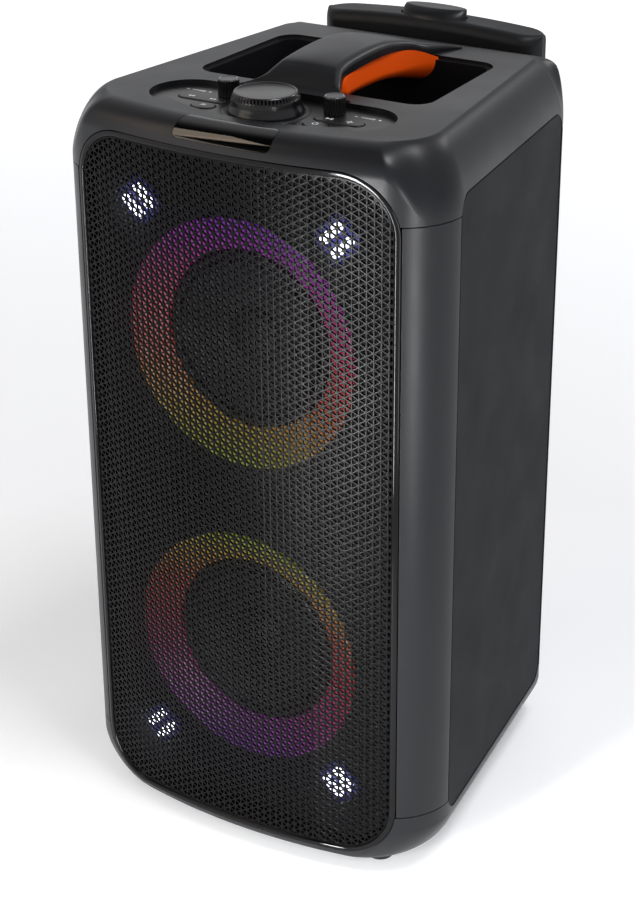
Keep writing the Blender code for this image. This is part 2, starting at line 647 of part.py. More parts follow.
def make_handle():
    rest = TOP_Z + GAP
    stations = [
        (-61.5, 45, rest, 555.2 * MM), (-57, 38, rest, 557.5 * MM), (-51, 31.5, rest, 562 * MM),
        (-43, 27, rest, 567.5 * MM), (-36, 25, 561.5 * MM, 570.5 * MM), (-20, 24, 563 * MM, 572.6 * MM),
        (5, 24, 564 * MM, 573.6 * MM), (28, 24, 563.6 * MM, 572.6 * MM), (46, 25, 562 * MM, 569.5 * MM),
        (60, 28, 559.5 * MM, 566 * MM), (72, 32, rest, 562 * MM), (86, 38, rest, 558.5 * MM),
        (98, 46, rest, 555.2 * MM)]
    rings = [handle_section(y * MM, half * MM, low, high, min(7 * MM, (high - low) * 0.9))
             for y, half, low, high in stations]
    loft("handle_cover", rings, ABS_SATIN)

    stations = [
        (WELL_FRONT_Y + GAP, 31, 546, 553.4, 6.5), (-36 * MM, 26.5, 545, 561.1, 6.5),
        (-20 * MM, 23.5, 545, 562.6, 6.5), (5 * MM, 22.5, 544.5, 563.6, 6.5), (28 * MM, 22.8, 543.5, 563.2, 6.5),
        (46 * MM, 25, 541, 561.6, 8), (60 * MM, 31, 538, 559, 12), (WELL_REAR_Y - GAP, 41, 536, 553.4, 15)]
    rings = []
    for y, half, low, high, soft in stations:
        half, low, high, soft = half * MM, low * MM, high * MM, soft * MM
        section = [(half, high), (half, low + soft)]
        section += [(half - soft * (1 - cos(a)), low + soft * (1 - sin(a))) for a in (pi / 6, pi / 3, pi / 2)]
        rings.append([(x, y, z) for x, z in section] + [(-x, y, z) for x, z in reversed(section)])
    loft("handle_grip", rings, TPU_ORANGE)

    outer = well_outline(2 * MM)
    inner = well_outline()
    tub = prism("handle_well", outer, WELL_FLOOR_Z - 2 * MM, SLAB_LOW_Z - GAP, ABS_TEXTURED)
    combine(tub, prism("cut_tub", inner, WELL_FLOOR_Z, SLAB_LOW_Z + WALL))


# ---------------------------------------------------------------- trolley

def make_trolley():
    low, high = TROLLEY_GRIP_Z
    bar = loft("trolley_grip", [trolley_section(x * MM, low, high) for x in (
        -91, -90, -87, -83, -79, -74, -60, -40, -20, 0, 20, 40, 60, 74, 79, 83, 87, 90, 91)], RUBBER)
    combine(bar, prism("cut_trolley_button", ellipse(0, TROLLEY_Y, 27.2 * MM, 13.5 * MM, 28), 548 * MM, 580 * MM))
    rings = []
    for rx, ry, back, down in ((26.6, 12.9, 0, 16), (26.6, 12.9, 0, 7.5), (26.2, 11.4, 1, 4), (25.6, 8.6, 3, 1),
                               (24.4, 6.9, 3.4, 0)):
        z = BUTTON_HIGH_Z - high - down * MM
        rings.append([(x, y, z) for x, y in ellipse(0, back * MM, rx * MM, ry * MM, 28)])
    loft("trolley_button", rings, ABS_SATIN, at=(0, TROLLEY_Y, high))

    housing = box("trolley_housing", (-HOUSING_HALF, REAR_Y + GAP, 12 * MM),
                  (HOUSING_HALF, HOUSING_REAR_Y, HOUSING_HIGH_Z), ABS_TEXTURED)
    rounding = housing.modifiers.new("Round", 'BEVEL')
    rounding.width = 9 * MM
    rounding.segments = 3
    rounding.limit_method = 'WEIGHT'
    weights = housing.data.attributes.new("bevel_weight_edge", 'FLOAT', 'EDGE')
    for edge in housing.data.edges:
        ends = [housing.data.vertices[v].co for v in edge.vertices]
        if all(abs(p.y - HOUSING_REAR_Y) < GAP for p in ends):
            weights.data[edge.index].value = 1.0
    combine(housing, box("cut_housing", (-HOUSING_HALF + PANEL_T, REAR_Y - 10 * MM, 15 * MM),
                         (HOUSING_HALF - PANEL_T, HOUSING_REAR_Y - PANEL_T, HOUSING_HIGH_Z - PANEL_T)))
    for arch in ARCHES:
        combine(housing, arch)
    combine(housing, PORT_HOLE)
    combine(housing, box("cut_socket_window", (-29.8 * MM, 145 * MM, 250 * MM), (29.8 * MM, 160 * MM, 400 * MM)))

    for way, word in ((-1, "left"), (1, "right")):
        x = way * TUBE_X
        combine(housing, tube_hole(f"cut_housing_{word}", x, 10.3 * MM, 7.3 * MM, 525 * MM, 545 * MM))
        sleeve = tube_hole(f"trolley_sleeve_{word}", x, 12 * MM, 9 * MM, 80 * MM, 532.5 * MM, ALUMINIUM)
        combine(sleeve, tube_hole(f"cut_sleeve_{word}", x, 10.5 * MM, 7.5 * MM, 70 * MM, 540 * MM))
        tube = tube_hole(f"trolley_tube_{word}", x, 10 * MM, 7 * MM, 84 * MM, low - GAP, ALUMINIUM)
        combine(tube, tube_hole(f"cut_tube_{word}", x, 8.8 * MM, 5.8 * MM, 70 * MM, 550 * MM))


def trolley_section(x, low, high):
    """One cross-section of the trolley grip, which is crowned in the middle and rounded at its ends."""
    deep = sqrt(max((17 * MM) ** 2 - max(abs(x) - 74 * MM, 0) ** 2, (3 * MM) ** 2))
    top = high + TROLLEY_CROWN * (1 - (x / (91 * MM)) ** 2)
    soft = min(8 * MM, deep * 0.9)
    front = [(deep, low), (deep, top - soft)]
    front += [(deep - soft * (1 - cos(a)), top - soft * (1 - sin(a))) for a in (pi / 6, pi / 3, pi / 2)]
    points = front + [(-y, z) for y, z in reversed(front)]
    return [(x, TROLLEY_Y + y, z) for y, z in points]


def tube_hole(name, x, half_x, half_y, low, high, mat=None):
    corners = [(-half_x, -half_y), (half_x, -half_y), (half_x, half_y), (-half_x, half_y)]
    return prism(name, rounded(corners, 3 * MM, 2), low, high, mat, at=(x, TROLLEY_Y, 0))


# ---------------------------------------------------------------- wheels and feet

def wheel_arches():
    return [box(f"cut_arch_{k}", (min(way * 60.2 * MM, way * 90 * MM), 83.5 * MM, -5 * MM),
                (max(way * 60.2 * MM, way * 90 * MM), 170 * MM, 77 * MM)) for k, way in enumerate((-1, 1))]


def make_wheels():
    sideways = (0, pi / 2, 0)
    half = WHEEL_T / 2
    for way, word in ((-1, "left"), (1, "right")):
        x = way * WHEEL_X
        cheeks = box(f"wheel_box_{word}", (x - 14.6 * MM, 83.8 * MM, 14 * MM), (x + 14.6 * MM, 138 * MM, 76.7 * MM),
                     ABS_TEXTURED)
        combine(cheeks, box(f"cut_wheel_box_{word}", (x - 12.2 * MM, 85.4 * MM, 5 * MM),
                            (x + 12.2 * MM, 150 * MM, 74.2 * MM)))
        combine(cheeks, turned(f"cut_axle_{word}", [(0, 20 * MM), (3.5 * MM, 20 * MM), (3.5 * MM, -20 * MM),
                               (0, -20 * MM)], steps=16, at=(x, WHEEL_Y, WHEEL_Z), turn=sideways))
        turned(f"wheel_hub_{word}", [
            (9 * MM, half), (9 * MM, half - 5 * MM), (22 * MM, half - 5 * MM), (24 * MM, half - 1 * MM),
            (24 * MM, 1 * MM - half), (22 * MM, 5 * MM - half), (9 * MM, 5 * MM - half), (9 * MM, -half),
            (3.4 * MM, -half), (3.4 * MM, half)],
            ABS_TEXTURED, steps=HIDDEN_ROUND, ring=True, at=(x, WHEEL_Y, WHEEL_Z), turn=sideways)
        turned(f"wheel_tyre_{word}", [
            (29 * MM, half - 1 * MM), (WHEEL_R, half - 4 * MM), (WHEEL_R, 4 * MM - half), (29 * MM, 1 * MM - half),
            (24.3 * MM, 1 * MM - half), (24.3 * MM, half - 1 * MM)],
            RUBBER, steps=HIDDEN_ROUND, ring=True, at=(x, WHEEL_Y, WHEEL_Z), turn=sideways)
    reach = 89 * MM
    turned("wheel_axle", [(0, reach), (3 * MM, reach), (3 * MM, -reach), (0, -reach)], STEEL_BRIGHT, steps=16,
           at=(0, WHEEL_Y, WHEEL_Z), turn=sideways)


def make_feet():
    for row, x, y in (("front", 103 * MM, -117 * MM), ("rear", 84 * MM, 66 * MM)):
        for way, word in ((-1, "left"), (1, "right")):
            top = BASE_Z - GAP
            turned(f"foot_{row}_{word}", [(0, top), (11 * MM, top), (10 * MM, 1 * MM), (9 * MM, 0), (0, 0)],
                   RUBBER, steps=HIDDEN_ROUND, at=(way * x, y, 0))


# ---------------------------------------------------------------- insides and sockets

def make_insides():
    box("amplifier_board", (-45 * MM, 107 * MM, 250 * MM), (45 * MM, 108.6 * MM, 400 * MM), BOARD_GREEN)
    box("battery_pack", (-70 * MM, 10 * MM, 12.5 * MM), (70 * MM, 75 * MM, 62 * MM), BATTERY, bevel=4 * MM)
    z = 156.5 * MM
    turned("bass_port", [
        (34 * MM, 1.5 * MM), (34 * MM, GAP), (28 * MM, GAP), (28 * MM, -95 * MM), (26 * MM, -95 * MM),
        (26 * MM, -6 * MM), (27 * MM, 0), (30 * MM, 1.5 * MM)], ABS_TEXTURED, ring=True,
        steps=HIDDEN_ROUND, at=(0, HOUSING_REAR_Y, z), turn=(-pi / 2, 0, 0))

    plate = box("socket_panel", (-29.5 * MM, 151.3 * MM, 250.3 * MM), (29.5 * MM, 153.6 * MM, 399.7 * MM), ABS_GLOSS)
    block = box("jack_block", (-25 * MM, 131 * MM, 338 * MM), (25 * MM, 151 * MM, 392 * MM), ABS_TEXTURED)
    for piece, deep in ((plate, 6 * MM), (block, 17 * MM)):
        for k, (x, z, r) in enumerate(((-14, 380, 3.3), (14, 380, 3.3), (-14, 352, 1.8))):
            hole = turned(f"cut_{piece.name}_jack_{k}", [(0, 5 * MM), (r * MM, 5 * MM), (r * MM, -deep), (0, -deep)],
                          steps=16, at=(x * MM, 151 * MM, z * MM), turn=(-pi / 2, 0, 0))
            combine(piece, hole)
        combine(piece, box(f"cut_{piece.name}_usb", (7.5 * MM, 151 * MM - deep, 349.4 * MM),
                           (20.5 * MM, 160 * MM, 354.8 * MM)))
    inlet_z = 285 * MM
    shape = pill(0, inlet_z, 11 * MM, 6 * MM, 6)
    combine(plate, prism("cut_inlet", shape, 145 * MM, 160 * MM, along='Y'))
    inlet = box("mains_inlet", (-14 * MM, 133 * MM, inlet_z - 9 * MM), (14 * MM, 151 * MM, inlet_z + 9 * MM),
                ABS_TEXTURED)
    combine(inlet, prism("cut_inlet_socket", shape, 136 * MM, 160 * MM, along='Y'))
    for k, x in enumerate((-4.3 * MM, 4.3 * MM)):
        pin = turned(f"join_pin_{k}", [(0, 2 * MM), (1.2 * MM, 2 * MM), (1.2 * MM, -6 * MM), (0, -6 * MM)],
                     steps=10, at=(x, 136 * MM, inlet_z), turn=FACING)
        combine(inlet, pin, 'UNION')


# ---------------------------------------------------------------- build

clear_scene()
PARTS = new_collection("party_speaker")
CUTTERS = new_collection("cutters")

ABS_SATIN = finish("ABS, satin dark grey", (0.030, 0.031, 0.034), 0.42)
ABS_TEXTURED = finish("ABS, fine texture", (0.022, 0.023, 0.026), 0.6)
ABS_GLOSS = finish("ABS, gloss black", (0.008, 0.008, 0.009), 0.15)
STEEL_BLACK = finish("steel, black coated", (0.012, 0.012, 0.013), 0.4, 0.5)
STEEL_BRIGHT = finish("steel, bright", (0.55, 0.56, 0.58), 0.3, 1.0)
ALUMINIUM = finish("aluminium, anodised", (0.42, 0.43, 0.45), 0.32, 1.0)
BOARD_BLACK = finish("fibreboard, painted black", (0.01, 0.01, 0.011), 0.8)
BOARD_GREEN = finish("circuit board", (0.01, 0.09, 0.04), 0.45)
FERRITE = finish("ferrite", (0.05, 0.05, 0.055), 0.6)
PAPER = finish("coated paper cone", (0.015, 0.015, 0.016), 0.7)
RUBBER = finish("rubber", (0.014, 0.014, 0.015), 0.75)
DIFFUSER = finish("polycarbonate diffuser", (0.7, 0.7, 0.72), 0.4)
LAMP_LENS = finish("polycarbonate lamp lens", (0.8, 0.82, 0.9), 0.2)
LENS_SMOKED = finish("polycarbonate, smoked", (0.06, 0.055, 0.05), 0.08)
TPU_ORANGE = finish("soft-touch rubber, orange", (0.86, 0.105, 0.004), 0.5)
BATTERY = finish("battery wrap", (0.02, 0.06, 0.2), 0.5)

ARCHES = wheel_arches()
PORT_HOLE = turned("cut_port", [(0, 10 * MM), (28.4 * MM, 10 * MM), (28.4 * MM, -60 * MM), (0, -60 * MM)],
                   at=(0, HOUSING_REAR_Y, 156.5 * MM), turn=(-pi / 2, 0, 0))

make_casing()
make_rear_panel()
make_bezel_and_grille()
make_drivers()
make_controls()
make_handle()
make_trolley()
make_wheels()
make_feet()
make_insides()
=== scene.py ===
from math import asin, atan2, cos, degrees, pi, radians, sin, sqrt

import bmesh
import bpy
from mathutils import Matrix, Vector
from mathutils.geometry import tessellate_polygon


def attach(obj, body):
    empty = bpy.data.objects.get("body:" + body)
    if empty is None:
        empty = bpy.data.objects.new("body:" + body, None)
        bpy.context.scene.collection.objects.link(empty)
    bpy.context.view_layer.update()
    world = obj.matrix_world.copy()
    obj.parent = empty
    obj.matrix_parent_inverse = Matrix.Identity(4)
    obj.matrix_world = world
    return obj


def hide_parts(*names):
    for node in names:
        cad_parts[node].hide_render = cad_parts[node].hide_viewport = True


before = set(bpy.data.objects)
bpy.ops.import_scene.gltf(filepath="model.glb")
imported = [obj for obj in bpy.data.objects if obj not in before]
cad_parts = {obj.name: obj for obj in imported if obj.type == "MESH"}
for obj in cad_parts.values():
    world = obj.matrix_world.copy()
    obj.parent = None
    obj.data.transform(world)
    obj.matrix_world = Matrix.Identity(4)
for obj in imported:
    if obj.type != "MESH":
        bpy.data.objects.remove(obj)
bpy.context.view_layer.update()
MM = 0.001


# ---------------------------------------------------------------- studio
# A white table lit from below, with soft lights at the front left, overhead and behind. Three small cards
# stand near the speaker: they draw the upright streaks on the corner and the bowed grille, and the glow in
# the display window.

def linear(code):
    """An sRGB hex colour as linear RGBA."""
    parts = [int(code[i:i + 2], 16) / 255 for i in (1, 3, 5)]
    return (*[c / 12.92 if c <= 0.04045 else ((c + 0.055) / 1.055) ** 2.4 for c in parts], 1.0)


def add(tree, kind, settings=None, inputs=None, stops=()):
    """Adds a node, sets its properties and fills or links its inputs. Stops are a ramp's places and colours."""
    node = tree.nodes.new(kind)
    for name, value in (settings or {}).items():
        setattr(node, name, value)
    for name, value in (inputs or {}).items():
        if isinstance(value, bpy.types.NodeSocket):
            tree.links.new(value, node.inputs[name])
        else:
            node.inputs[name].default_value = value
    for k, (place, code) in enumerate(stops):
        stop = node.color_ramp.elements[k] if k < 2 else node.color_ramp.elements.new(place)
        stop.position = place
        stop.color = linear(code)
    return node


def surface(name, code, **sockets):
    """A material with one base colour, and the shader's own values by socket name."""
    mat = bpy.data.materials.new(name)
    mat.use_nodes = True
    shader = mat.node_tree.nodes["Principled BSDF"]
    shader.inputs["Base Color"].default_value = linear(code)
    for socket, value in sockets.items():
        shader.inputs[socket.replace("_", " ")].default_value = value
    return mat


def grain(mat, size, depth, rough, mottle=0.0):
    """Moulded or blasted texture: noise of that grain size as bump, and slow changes of roughness and tone."""
    tree = mat.node_tree
    shader = tree.nodes["Principled BSDF"]
    where = add(tree, "ShaderNodeTexCoord").outputs["Object"]
    fine = add(tree, "ShaderNodeTexNoise", inputs={"Vector": where, "Scale": 1 / size, "Detail": 3.0})
    bump = add(tree, "ShaderNodeBump", inputs={"Height": fine.outputs[0], "Distance": depth, "Strength": 1.0})
    tree.links.new(bump.outputs[0], shader.inputs["Normal"])
    slow = add(tree, "ShaderNodeTexNoise", inputs={"Vector": where, "Scale": 22.0, "Detail": 4.0})
    spread = add(tree, "ShaderNodeMapRange", inputs={
        "Value": slow.outputs[0], "From Min": 0.3, "From Max": 0.7, "To Min": rough[0], "To Max": rough[1]})
    tree.links.new(spread.outputs[0], shader.inputs["Roughness"])
    if mottle:
        base = tuple(shader.inputs["Base Color"].default_value)
        dark = (*[c * (1 - mottle) for c in base[:3]], 1.0)
        light = (*[c * (1 + mottle) for c in base[:3]], 1.0)
        mix = add(tree, "ShaderNodeMix", {"data_type": 'RGBA'}, {0: fine.outputs[0], 6: dark, 7: light})
        tree.links.new(mix.outputs[2], shader.inputs["Base Color"])
    return mat


CAMERA_AT = Vector((0.7455, -1.2640, 0.9647))
AZIMUTH, ELEVATION, ROLL = radians(31.2), radians(25.64), radians(-0.42)
camera_data = bpy.data.cameras.new("camera")
camera_data.sensor_fit = 'VERTICAL'
camera_data.sensor_height = 24
camera_data.lens = 57.11
camera = bpy.data.objects.new("camera", camera_data)
bpy.context.scene.collection.objects.link(camera)
across = Vector((cos(AZIMUTH), sin(AZIMUTH), 0))
behind = Vector((sin(AZIMUTH) * cos(ELEVATION), -cos(AZIMUTH) * cos(ELEVATION), sin(ELEVATION)))
above = behind.cross(across)
level = Matrix((across, above, behind)).transposed().to_4x4()
camera.matrix_world = Matrix.Translation(CAMERA_AT) @ level @ Matrix.Rotation(ROLL, 4, 'Z')
bpy.context.scene.camera = camera
bpy.context.scene.view_settings.view_transform = 'Standard'

# The room is pale all round but for a dark patch of ceiling, which keeps the rounded front edge of the top
# dark.
world = bpy.data.worlds.new("studio")
world.use_nodes = True
tree = world.node_tree
toward = add(tree, "ShaderNodeTexCoord").outputs["Generated"]
near_patch = add(tree, "ShaderNodeVectorMath", {"operation": 'DOT_PRODUCT'},
                 {0: toward, 1: (-0.38, -0.3, 0.87)})
shade = add(tree, "ShaderNodeMapRange", {"interpolation_type": 'SMOOTHSTEP'}, {
    "Value": near_patch.outputs["Value"], "From Min": 0.7, "From Max": 0.95, "To Min": 0.55, "To Max": 0.03})
room = tree.nodes["Background"]
room.inputs["Color"].default_value = linear("#f6f7fa")
tree.links.new(shade.outputs[0], room.inputs["Strength"])
bpy.context.scene.world = world


def softbox(name, at, aim, width, height, radiance, tint="#ffffff"):
    """A rectangular light of an even radiance that faces a point."""
    light = bpy.data.lights.new(name, 'AREA')
    light.shape = 'RECTANGLE'
    light.size, light.size_y = width, height
    light.energy = radiance * pi * width * height
    light.color = linear(tint)[:3]
    lamp = bpy.data.objects.new(name, light)
    bpy.context.scene.collection.objects.link(lamp)
    lamp.location = at
    lamp.rotation_euler = (Vector(aim) - Vector(at)).to_track_quat('-Z', 'Y').to_euler()
    return lamp


softbox("key_front_left", (-1.05, -1.45, 1.15), (0, -0.1, 0.5), 1.2, 0.9, 1.6, "#f3e6d8")
softbox("overhead_right", (0.85, -0.1, 2.4), (0.1, 0, 0.5), 0.6, 0.6, 19.0)
softbox("back_right", (0.95, 2.3, 1.95), (0.1, 0, 0.5), 0.7, 0.5, 8.0)
softbox("back_left", (-1.9, 3.2, 2.0), (0, 0, 0.5), 2.4, 1.4, 0.5)
softbox("corner_card", (0.486, -0.402, 0.33), (0.134, -0.133, 0.35), 0.08, 0.4, 14.0)
softbox("grille_card", (0.02, -0.7, 0.2), (0.09, -0.15, 0.42), 0.06, 0.3, 110.0)
softbox("display_card", (-0.55, -0.42, 1.13), (0, -0.15, 0.545), 0.26, 0.5, 3.4, "#ddcbb8")

studio_floor = bpy.data.meshes.new("studio_floor")
reach = 9.0
studio_floor.from_pydata([(-reach, -reach, 0), (reach, -reach, 0), (reach, reach, 0), (-reach, reach, 0)], [],
                         [(0, 1, 2, 3)])
# The sweep is lit from below like a product table, so it stays white and holds only a soft shadow.
SWEEP = grain(surface("matt white acrylic table, lit from below", "#f2f3f5", Roughness=0.8),
              0.02, 0.0, (0.75, 0.85), 0.01)
tree = SWEEP.node_tree
where = add(tree, "ShaderNodeTexCoord").outputs["Object"]
far = add(tree, "ShaderNodeVectorMath", {"operation": 'LENGTH'}, {0: where})
lift = add(tree, "ShaderNodeMapRange", inputs={
    "Value": far.outputs["Value"], "From Min": 0.5, "From Max": 2.2, "To Min": 0.16, "To Max": 0.62})
tree.links.new(lift.outputs[0], tree.nodes["Principled BSDF"].inputs["Emission Strength"])
tree.nodes["Principled BSDF"].inputs["Emission Color"].default_value = linear("#fdfdff")
studio_floor.materials.append(SWEEP)
floor = bpy.data.objects.new("studio_floor", studio_floor)
bpy.context.scene.collection.objects.link(floor)


# ---------------------------------------------------------------- top cap
# One injection moulding in satin ABS: the crown of the cabinet with its big soft edges, the sunk control
# deck and the mouth of the handle well. It drops over the front frame and is screwed from below.

BOW_R, CORNER_R, REAR_R = 460 * MM, 45 * MM, 16 * MM
FRONT_Y, REAR_Y = -157.5 * MM, 120 * MM
TAPER = radians(7.3)
WALL = 4 * MM
GAP = 0.3 * MM
SIDE_OUT = Vector((cos(TAPER), sin(TAPER)))
SIDE_BACK = Vector((-sin(TAPER), cos(TAPER)))
CORNER_C = Vector((105 * MM, -99 * MM))
SIDE_DIST = SIDE_OUT.dot(CORNER_C) + CORNER_R
BOW_C = Vector((0, FRONT_Y + BOW_R))

HIGH_SEAM_Z, TOP_Z, DECK_Z, SLAB_LOW_Z = 504 * MM, 554 * MM, 550 * MM, 541 * MM
TOP_EDGE = {"front": (22 * MM, 19 * MM, 1.0), "side": (22.7 * MM, 46 * MM, 1.25),
            "rear": (16 * MM, 8 * MM, 1.25), "corner": 34.6 * MM, "turn": 39}


def plan(front=0.0, side=0.0, rear=0.0, r_front=CORNER_R, r_rear=REAR_R):
    """The cabinet's outline from above, moved inwards, as (x, y, direction it faces in degrees)."""
    bow_r = BOW_R - front
    across_by = SIDE_DIST - side - r_front
    reach_by = bow_r - r_front
    along = SIDE_BACK.dot(BOW_C) - sqrt(reach_by ** 2 - (across_by - SIDE_OUT.dot(BOW_C)) ** 2)
    corner = SIDE_OUT * across_by + SIDE_BACK * along
    meet = atan2(corner.x, BOW_C.y - corner.y)
    turn_side = pi / 2 + TAPER
    rear_y = REAR_Y - rear - r_rear
    rear_x = (SIDE_DIST - side - r_rear - SIDE_OUT.y * rear_y) / SIDE_OUT.x
    half = [(BOW_C, bow_r, meet * k / 14) for k in range(14)]
    half += [(corner, r_front, meet + (turn_side - meet) * k / 26) for k in range(27)]
    half += [(Vector((rear_x, rear_y)), r_rear, turn_side + (pi - turn_side) * k / 12) for k in range(13)]
    right = [(c[0] + r * sin(a), c[1] - r * cos(a), degrees(a)) for c, r, a in half]
    left = [(-x, y, a) for x, y, a in reversed(right[1:])]
    return right + left


def smooth_step(t):
    t = min(max(t, 0.0), 1.0)
    return t * t * (3 - 2 * t)


def edge_shape(facing, edge):
    """Height and bend of a cap's rounded edge where the outline faces a given way."""
    if facing < 90:
        near, far, t = edge["front"], edge["side"], smooth_step((facing - 12) / edge["turn"])
    else:
        near, far, t = edge["side"], edge["rear"], smooth_step((facing - 105) / 70)
    return [near[k] + (far[k] - near[k]) * t for k in (1, 2)]


def to_piece(name, bm, mat=None):
    bmesh.ops.recalc_face_normals(bm, faces=bm.faces)
    mesh = bpy.data.meshes.new(name)
    bm.to_mesh(mesh)
    bm.free()
    piece = bpy.data.objects.new(name, mesh)
    bpy.context.scene.collection.objects.link(piece)
    if mat:
        mesh.materials.append(mat)
    return piece


def loft(name, rings, mat=None, ends=True, ring=False):
    """Faces between rings of points of equal length."""
    bm = bmesh.new()
    rows = [[bm.verts.new(p) for p in row] for row in rings]
    if ring:
        rows.append(rows[0])
    count = len(rows[0])
    for low, high in zip(rows, rows[1:]):
        for i in range(count):
            j = (i + 1) % count
            bm.faces.new((low[i], low[j], high[j], high[i]))
    if ends and not ring:
        bm.faces.new(rows[0])
        bm.faces.new(rows[-1])
    return to_piece(name, bm, mat)


def prism(name, outline, low, high, mat=None, along='Z'):
    """An outline pushed along one axis; an (x, z) outline goes along Y."""
    if along == 'Z':
        return loft(name, [[(u, v, w) for u, v in outline] for w in (low, high)], mat)
    return loft(name, [[(u, w, v) for u, v in outline] for w in (low, high)], mat)


def settle(piece):
    """Turns a piece's modifiers into its mesh."""
    graph = bpy.context.evaluated_depsgraph_get()
    mesh = bpy.data.meshes.new_from_object(piece.evaluated_get(graph))
    piece.modifiers.clear()
    piece.data = mesh


def carve(piece, *tools, how='DIFFERENCE'):
    for tool in tools:
        step = piece.modifiers.new("Carve", 'BOOLEAN')
        step.object = tool
        step.operation = how
        step.solver = 'EXACT'
    settle(piece)
    for tool in tools:
        bpy.data.objects.remove(tool)
    return piece


def soften(piece, width=0.5 * MM, angle=35, sharp=50):
    """Breaks the hard edges and shades the piece smooth, with its flats kept flat."""
    if width:
        edge = piece.modifiers.new("Edge", 'BEVEL')
        edge.width = width
        edge.segments = 2
        edge.limit_method = 'ANGLE'
        edge.angle_limit = radians(angle)
        edge.use_clamp_overlap = True
        edge.miter_outer = 'MITER_ARC'
        settle(piece)
    piece.data.shade_smooth()
    piece.data.set_sharp_from_angle(angle=radians(sharp))
    flats = piece.modifiers.new("Flats", 'WEIGHTED_NORMAL')
    flats.keep_sharp = True
    flats.weight = 60
    return piece


def fit(piece, body, slot, *nodes):
    """Puts a piece on its body in place of the CAD nodes it stands for. The slot is not used."""
    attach(piece, body)
    if nodes:
        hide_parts(*nodes)
    return piece


def rounded(corners, radius, steps=12):
    """A polygon with each corner replaced by an arc."""
    out = []
    for i, corner in enumerate(corners):
        here = Vector(corner)
        back = (Vector(corners[i - 1]) - here).normalized()
        ahead = (Vector(corners[(i + 1) % len(corners)]) - here).normalized()
        half = back.angle(ahead) / 2
        centre = here + (back + ahead).normalized() * (radius / sin(half))
        start = here + back * (radius * cos(half) / sin(half))
        end = here + ahead * (radius * cos(half) / sin(half))
        first = atan2(start.y - centre.y, start.x - centre.x)
        sweep = (atan2(end.y - centre.y, end.x - centre.x) - first + pi) % (2 * pi) - pi
        for k in range(steps + 1):
            a = first + sweep * k / steps
            out.append((centre.x + radius * cos(a), centre.y + radius * sin(a)))
    return out


def rounded_box(half_x, low, high, radius, steps=14):
    return rounded([(-half_x, low), (half_x, low), (half_x, high), (-half_x, high)], radius, steps)


def block(name, low, high, mat=None):
    return prism(name, [(low[0], low[1]), (high[0], low[1]), (high[0], high[1]), (low[0], high[1])],
                 low[2], high[2], mat)


def pill(cx, cy, half, r, steps=14):
    angles = [pi * (k / steps - 0.5) for k in range(steps + 1)]
    right = [(cx + half - r + r * cos(a), cy + r * sin(a)) for a in angles]
    return right + [(2 * cx - x, 2 * cy - y) for x, y in right]


def ellipse(cx, cy, rx, ry, steps=56):
    return [(cx + rx * cos(2 * pi * k / steps), cy + ry * sin(2 * pi * k / steps)) for k in range(steps)]


def rounded_cap(name, seam, flat, edge, mat):
    """A cap's outer skin from its straight seam to its flat face, with a rounded edge between."""
    outer = plan()
    inner = plan(*(edge[key][0] for key in ("front", "side", "rear")), r_front=edge["corner"], r_rear=12 * MM)
    way = 1 if flat > seam else -1
    rings = [[(x, y, seam) for x, y, _ in outer]]
    for k in range(21):
        a = pi / 2 * k / 20
        ring = []
        for (x0, y0, facing), (x1, y1, _) in zip(outer, inner):
            height, bend = edge_shape(facing, edge)
            t = 1 - cos(a) ** bend
            ring.append((x0 + (x1 - x0) * t, y0 + (y1 - y0) * t, flat - way * height * (1 - sin(a) ** bend)))
        rings.append(ring)
    return loft(name, rings, mat)


def side_point(y, out=0.0):
    """A point of the right side face at y, moved outwards."""
    return Vector(((SIDE_DIST + out - SIDE_OUT.y * y) / SIDE_OUT.x, y))


def side_slab(name, way, grow, outs, mat=None):
    """A plate in the plane of one side, rounded at its front corners, between two depths."""
    y_low, y_high = -99 * MM - grow, side_point(REAR_Y - REAR_R).y + 2 * MM + grow
    low, high = 42 * MM - grow, 517 * MM + grow
    outline = rounded([(y_low, low), (y_high, low), (y_high, high), (y_low, high)], 13 * MM + grow, 8)
    return loft(name, [[(way * side_point(y, out).x, y, z) for y, z in outline] for out in outs], mat)


def stitch(bm, rows):
    """Faces between closed rows of vertices. A row at a tip holds one vertex many times."""
    steps = len(rows[0])
    for low, high in zip(rows, rows[1:]):
        for i in range(steps):
            j = (i + 1) % steps
            bm.faces.new(list(dict.fromkeys((low[i], low[j], high[j], high[i]))))


def turned(name, profile, mat=None, steps=96, ring=False, at=(0, 0, 0), turn=(0, 0, 0)):
    """A profile of (radius, height) points turned about local Z. A ring's profile is closed on itself."""
    bm = bmesh.new()
    rows = []
    for r, z in profile:
        if r < 1e-7:
            rows.append([bm.verts.new((0, 0, z))] * steps)
        else:
            rows.append([bm.verts.new((r * cos(2 * pi * k / steps), r * sin(2 * pi * k / steps), z))
                         for k in range(steps)])
    if ring:
        rows.append(rows[0])
    stitch(bm, rows)
    facing = Matrix.Rotation(turn[0], 3, 'X') @ Matrix.Rotation(turn[1], 3, 'Y')
    bm.transform(Matrix.LocRotScale(Vector(at), facing, None))
    return to_piece(name, bm, mat)


def deck_outline(grow=0.0):
    """The kidney-shaped recess round the controls: straight behind, bowed in front."""
    rear_y, end_x, end_r, crest = -62 * MM, 65 * MM, 28 * MM, -127 * MM
    end_y = rear_y - end_r
    bow = 146 * MM
    bow_y = crest + bow
    bow = sqrt(end_x ** 2 + (bow_y - end_y) ** 2) + end_r
    bow_y = crest + bow
    lean = atan2(end_x, bow_y - end_y)
    right = [(end_x + (end_r + grow) * cos(a), end_y + (end_r + grow) * sin(a))
             for a in [-pi / 2 + lean + (pi - lean) * k / 26 for k in range(27)]]
    turns = [lean * k / 16 for k in range(-15, 16)]
    front = [((bow + grow) * sin(a), bow_y - (bow + grow) * cos(a)) for a in turns]
    return front + right + [(-x, y) for x, y in reversed(right)]


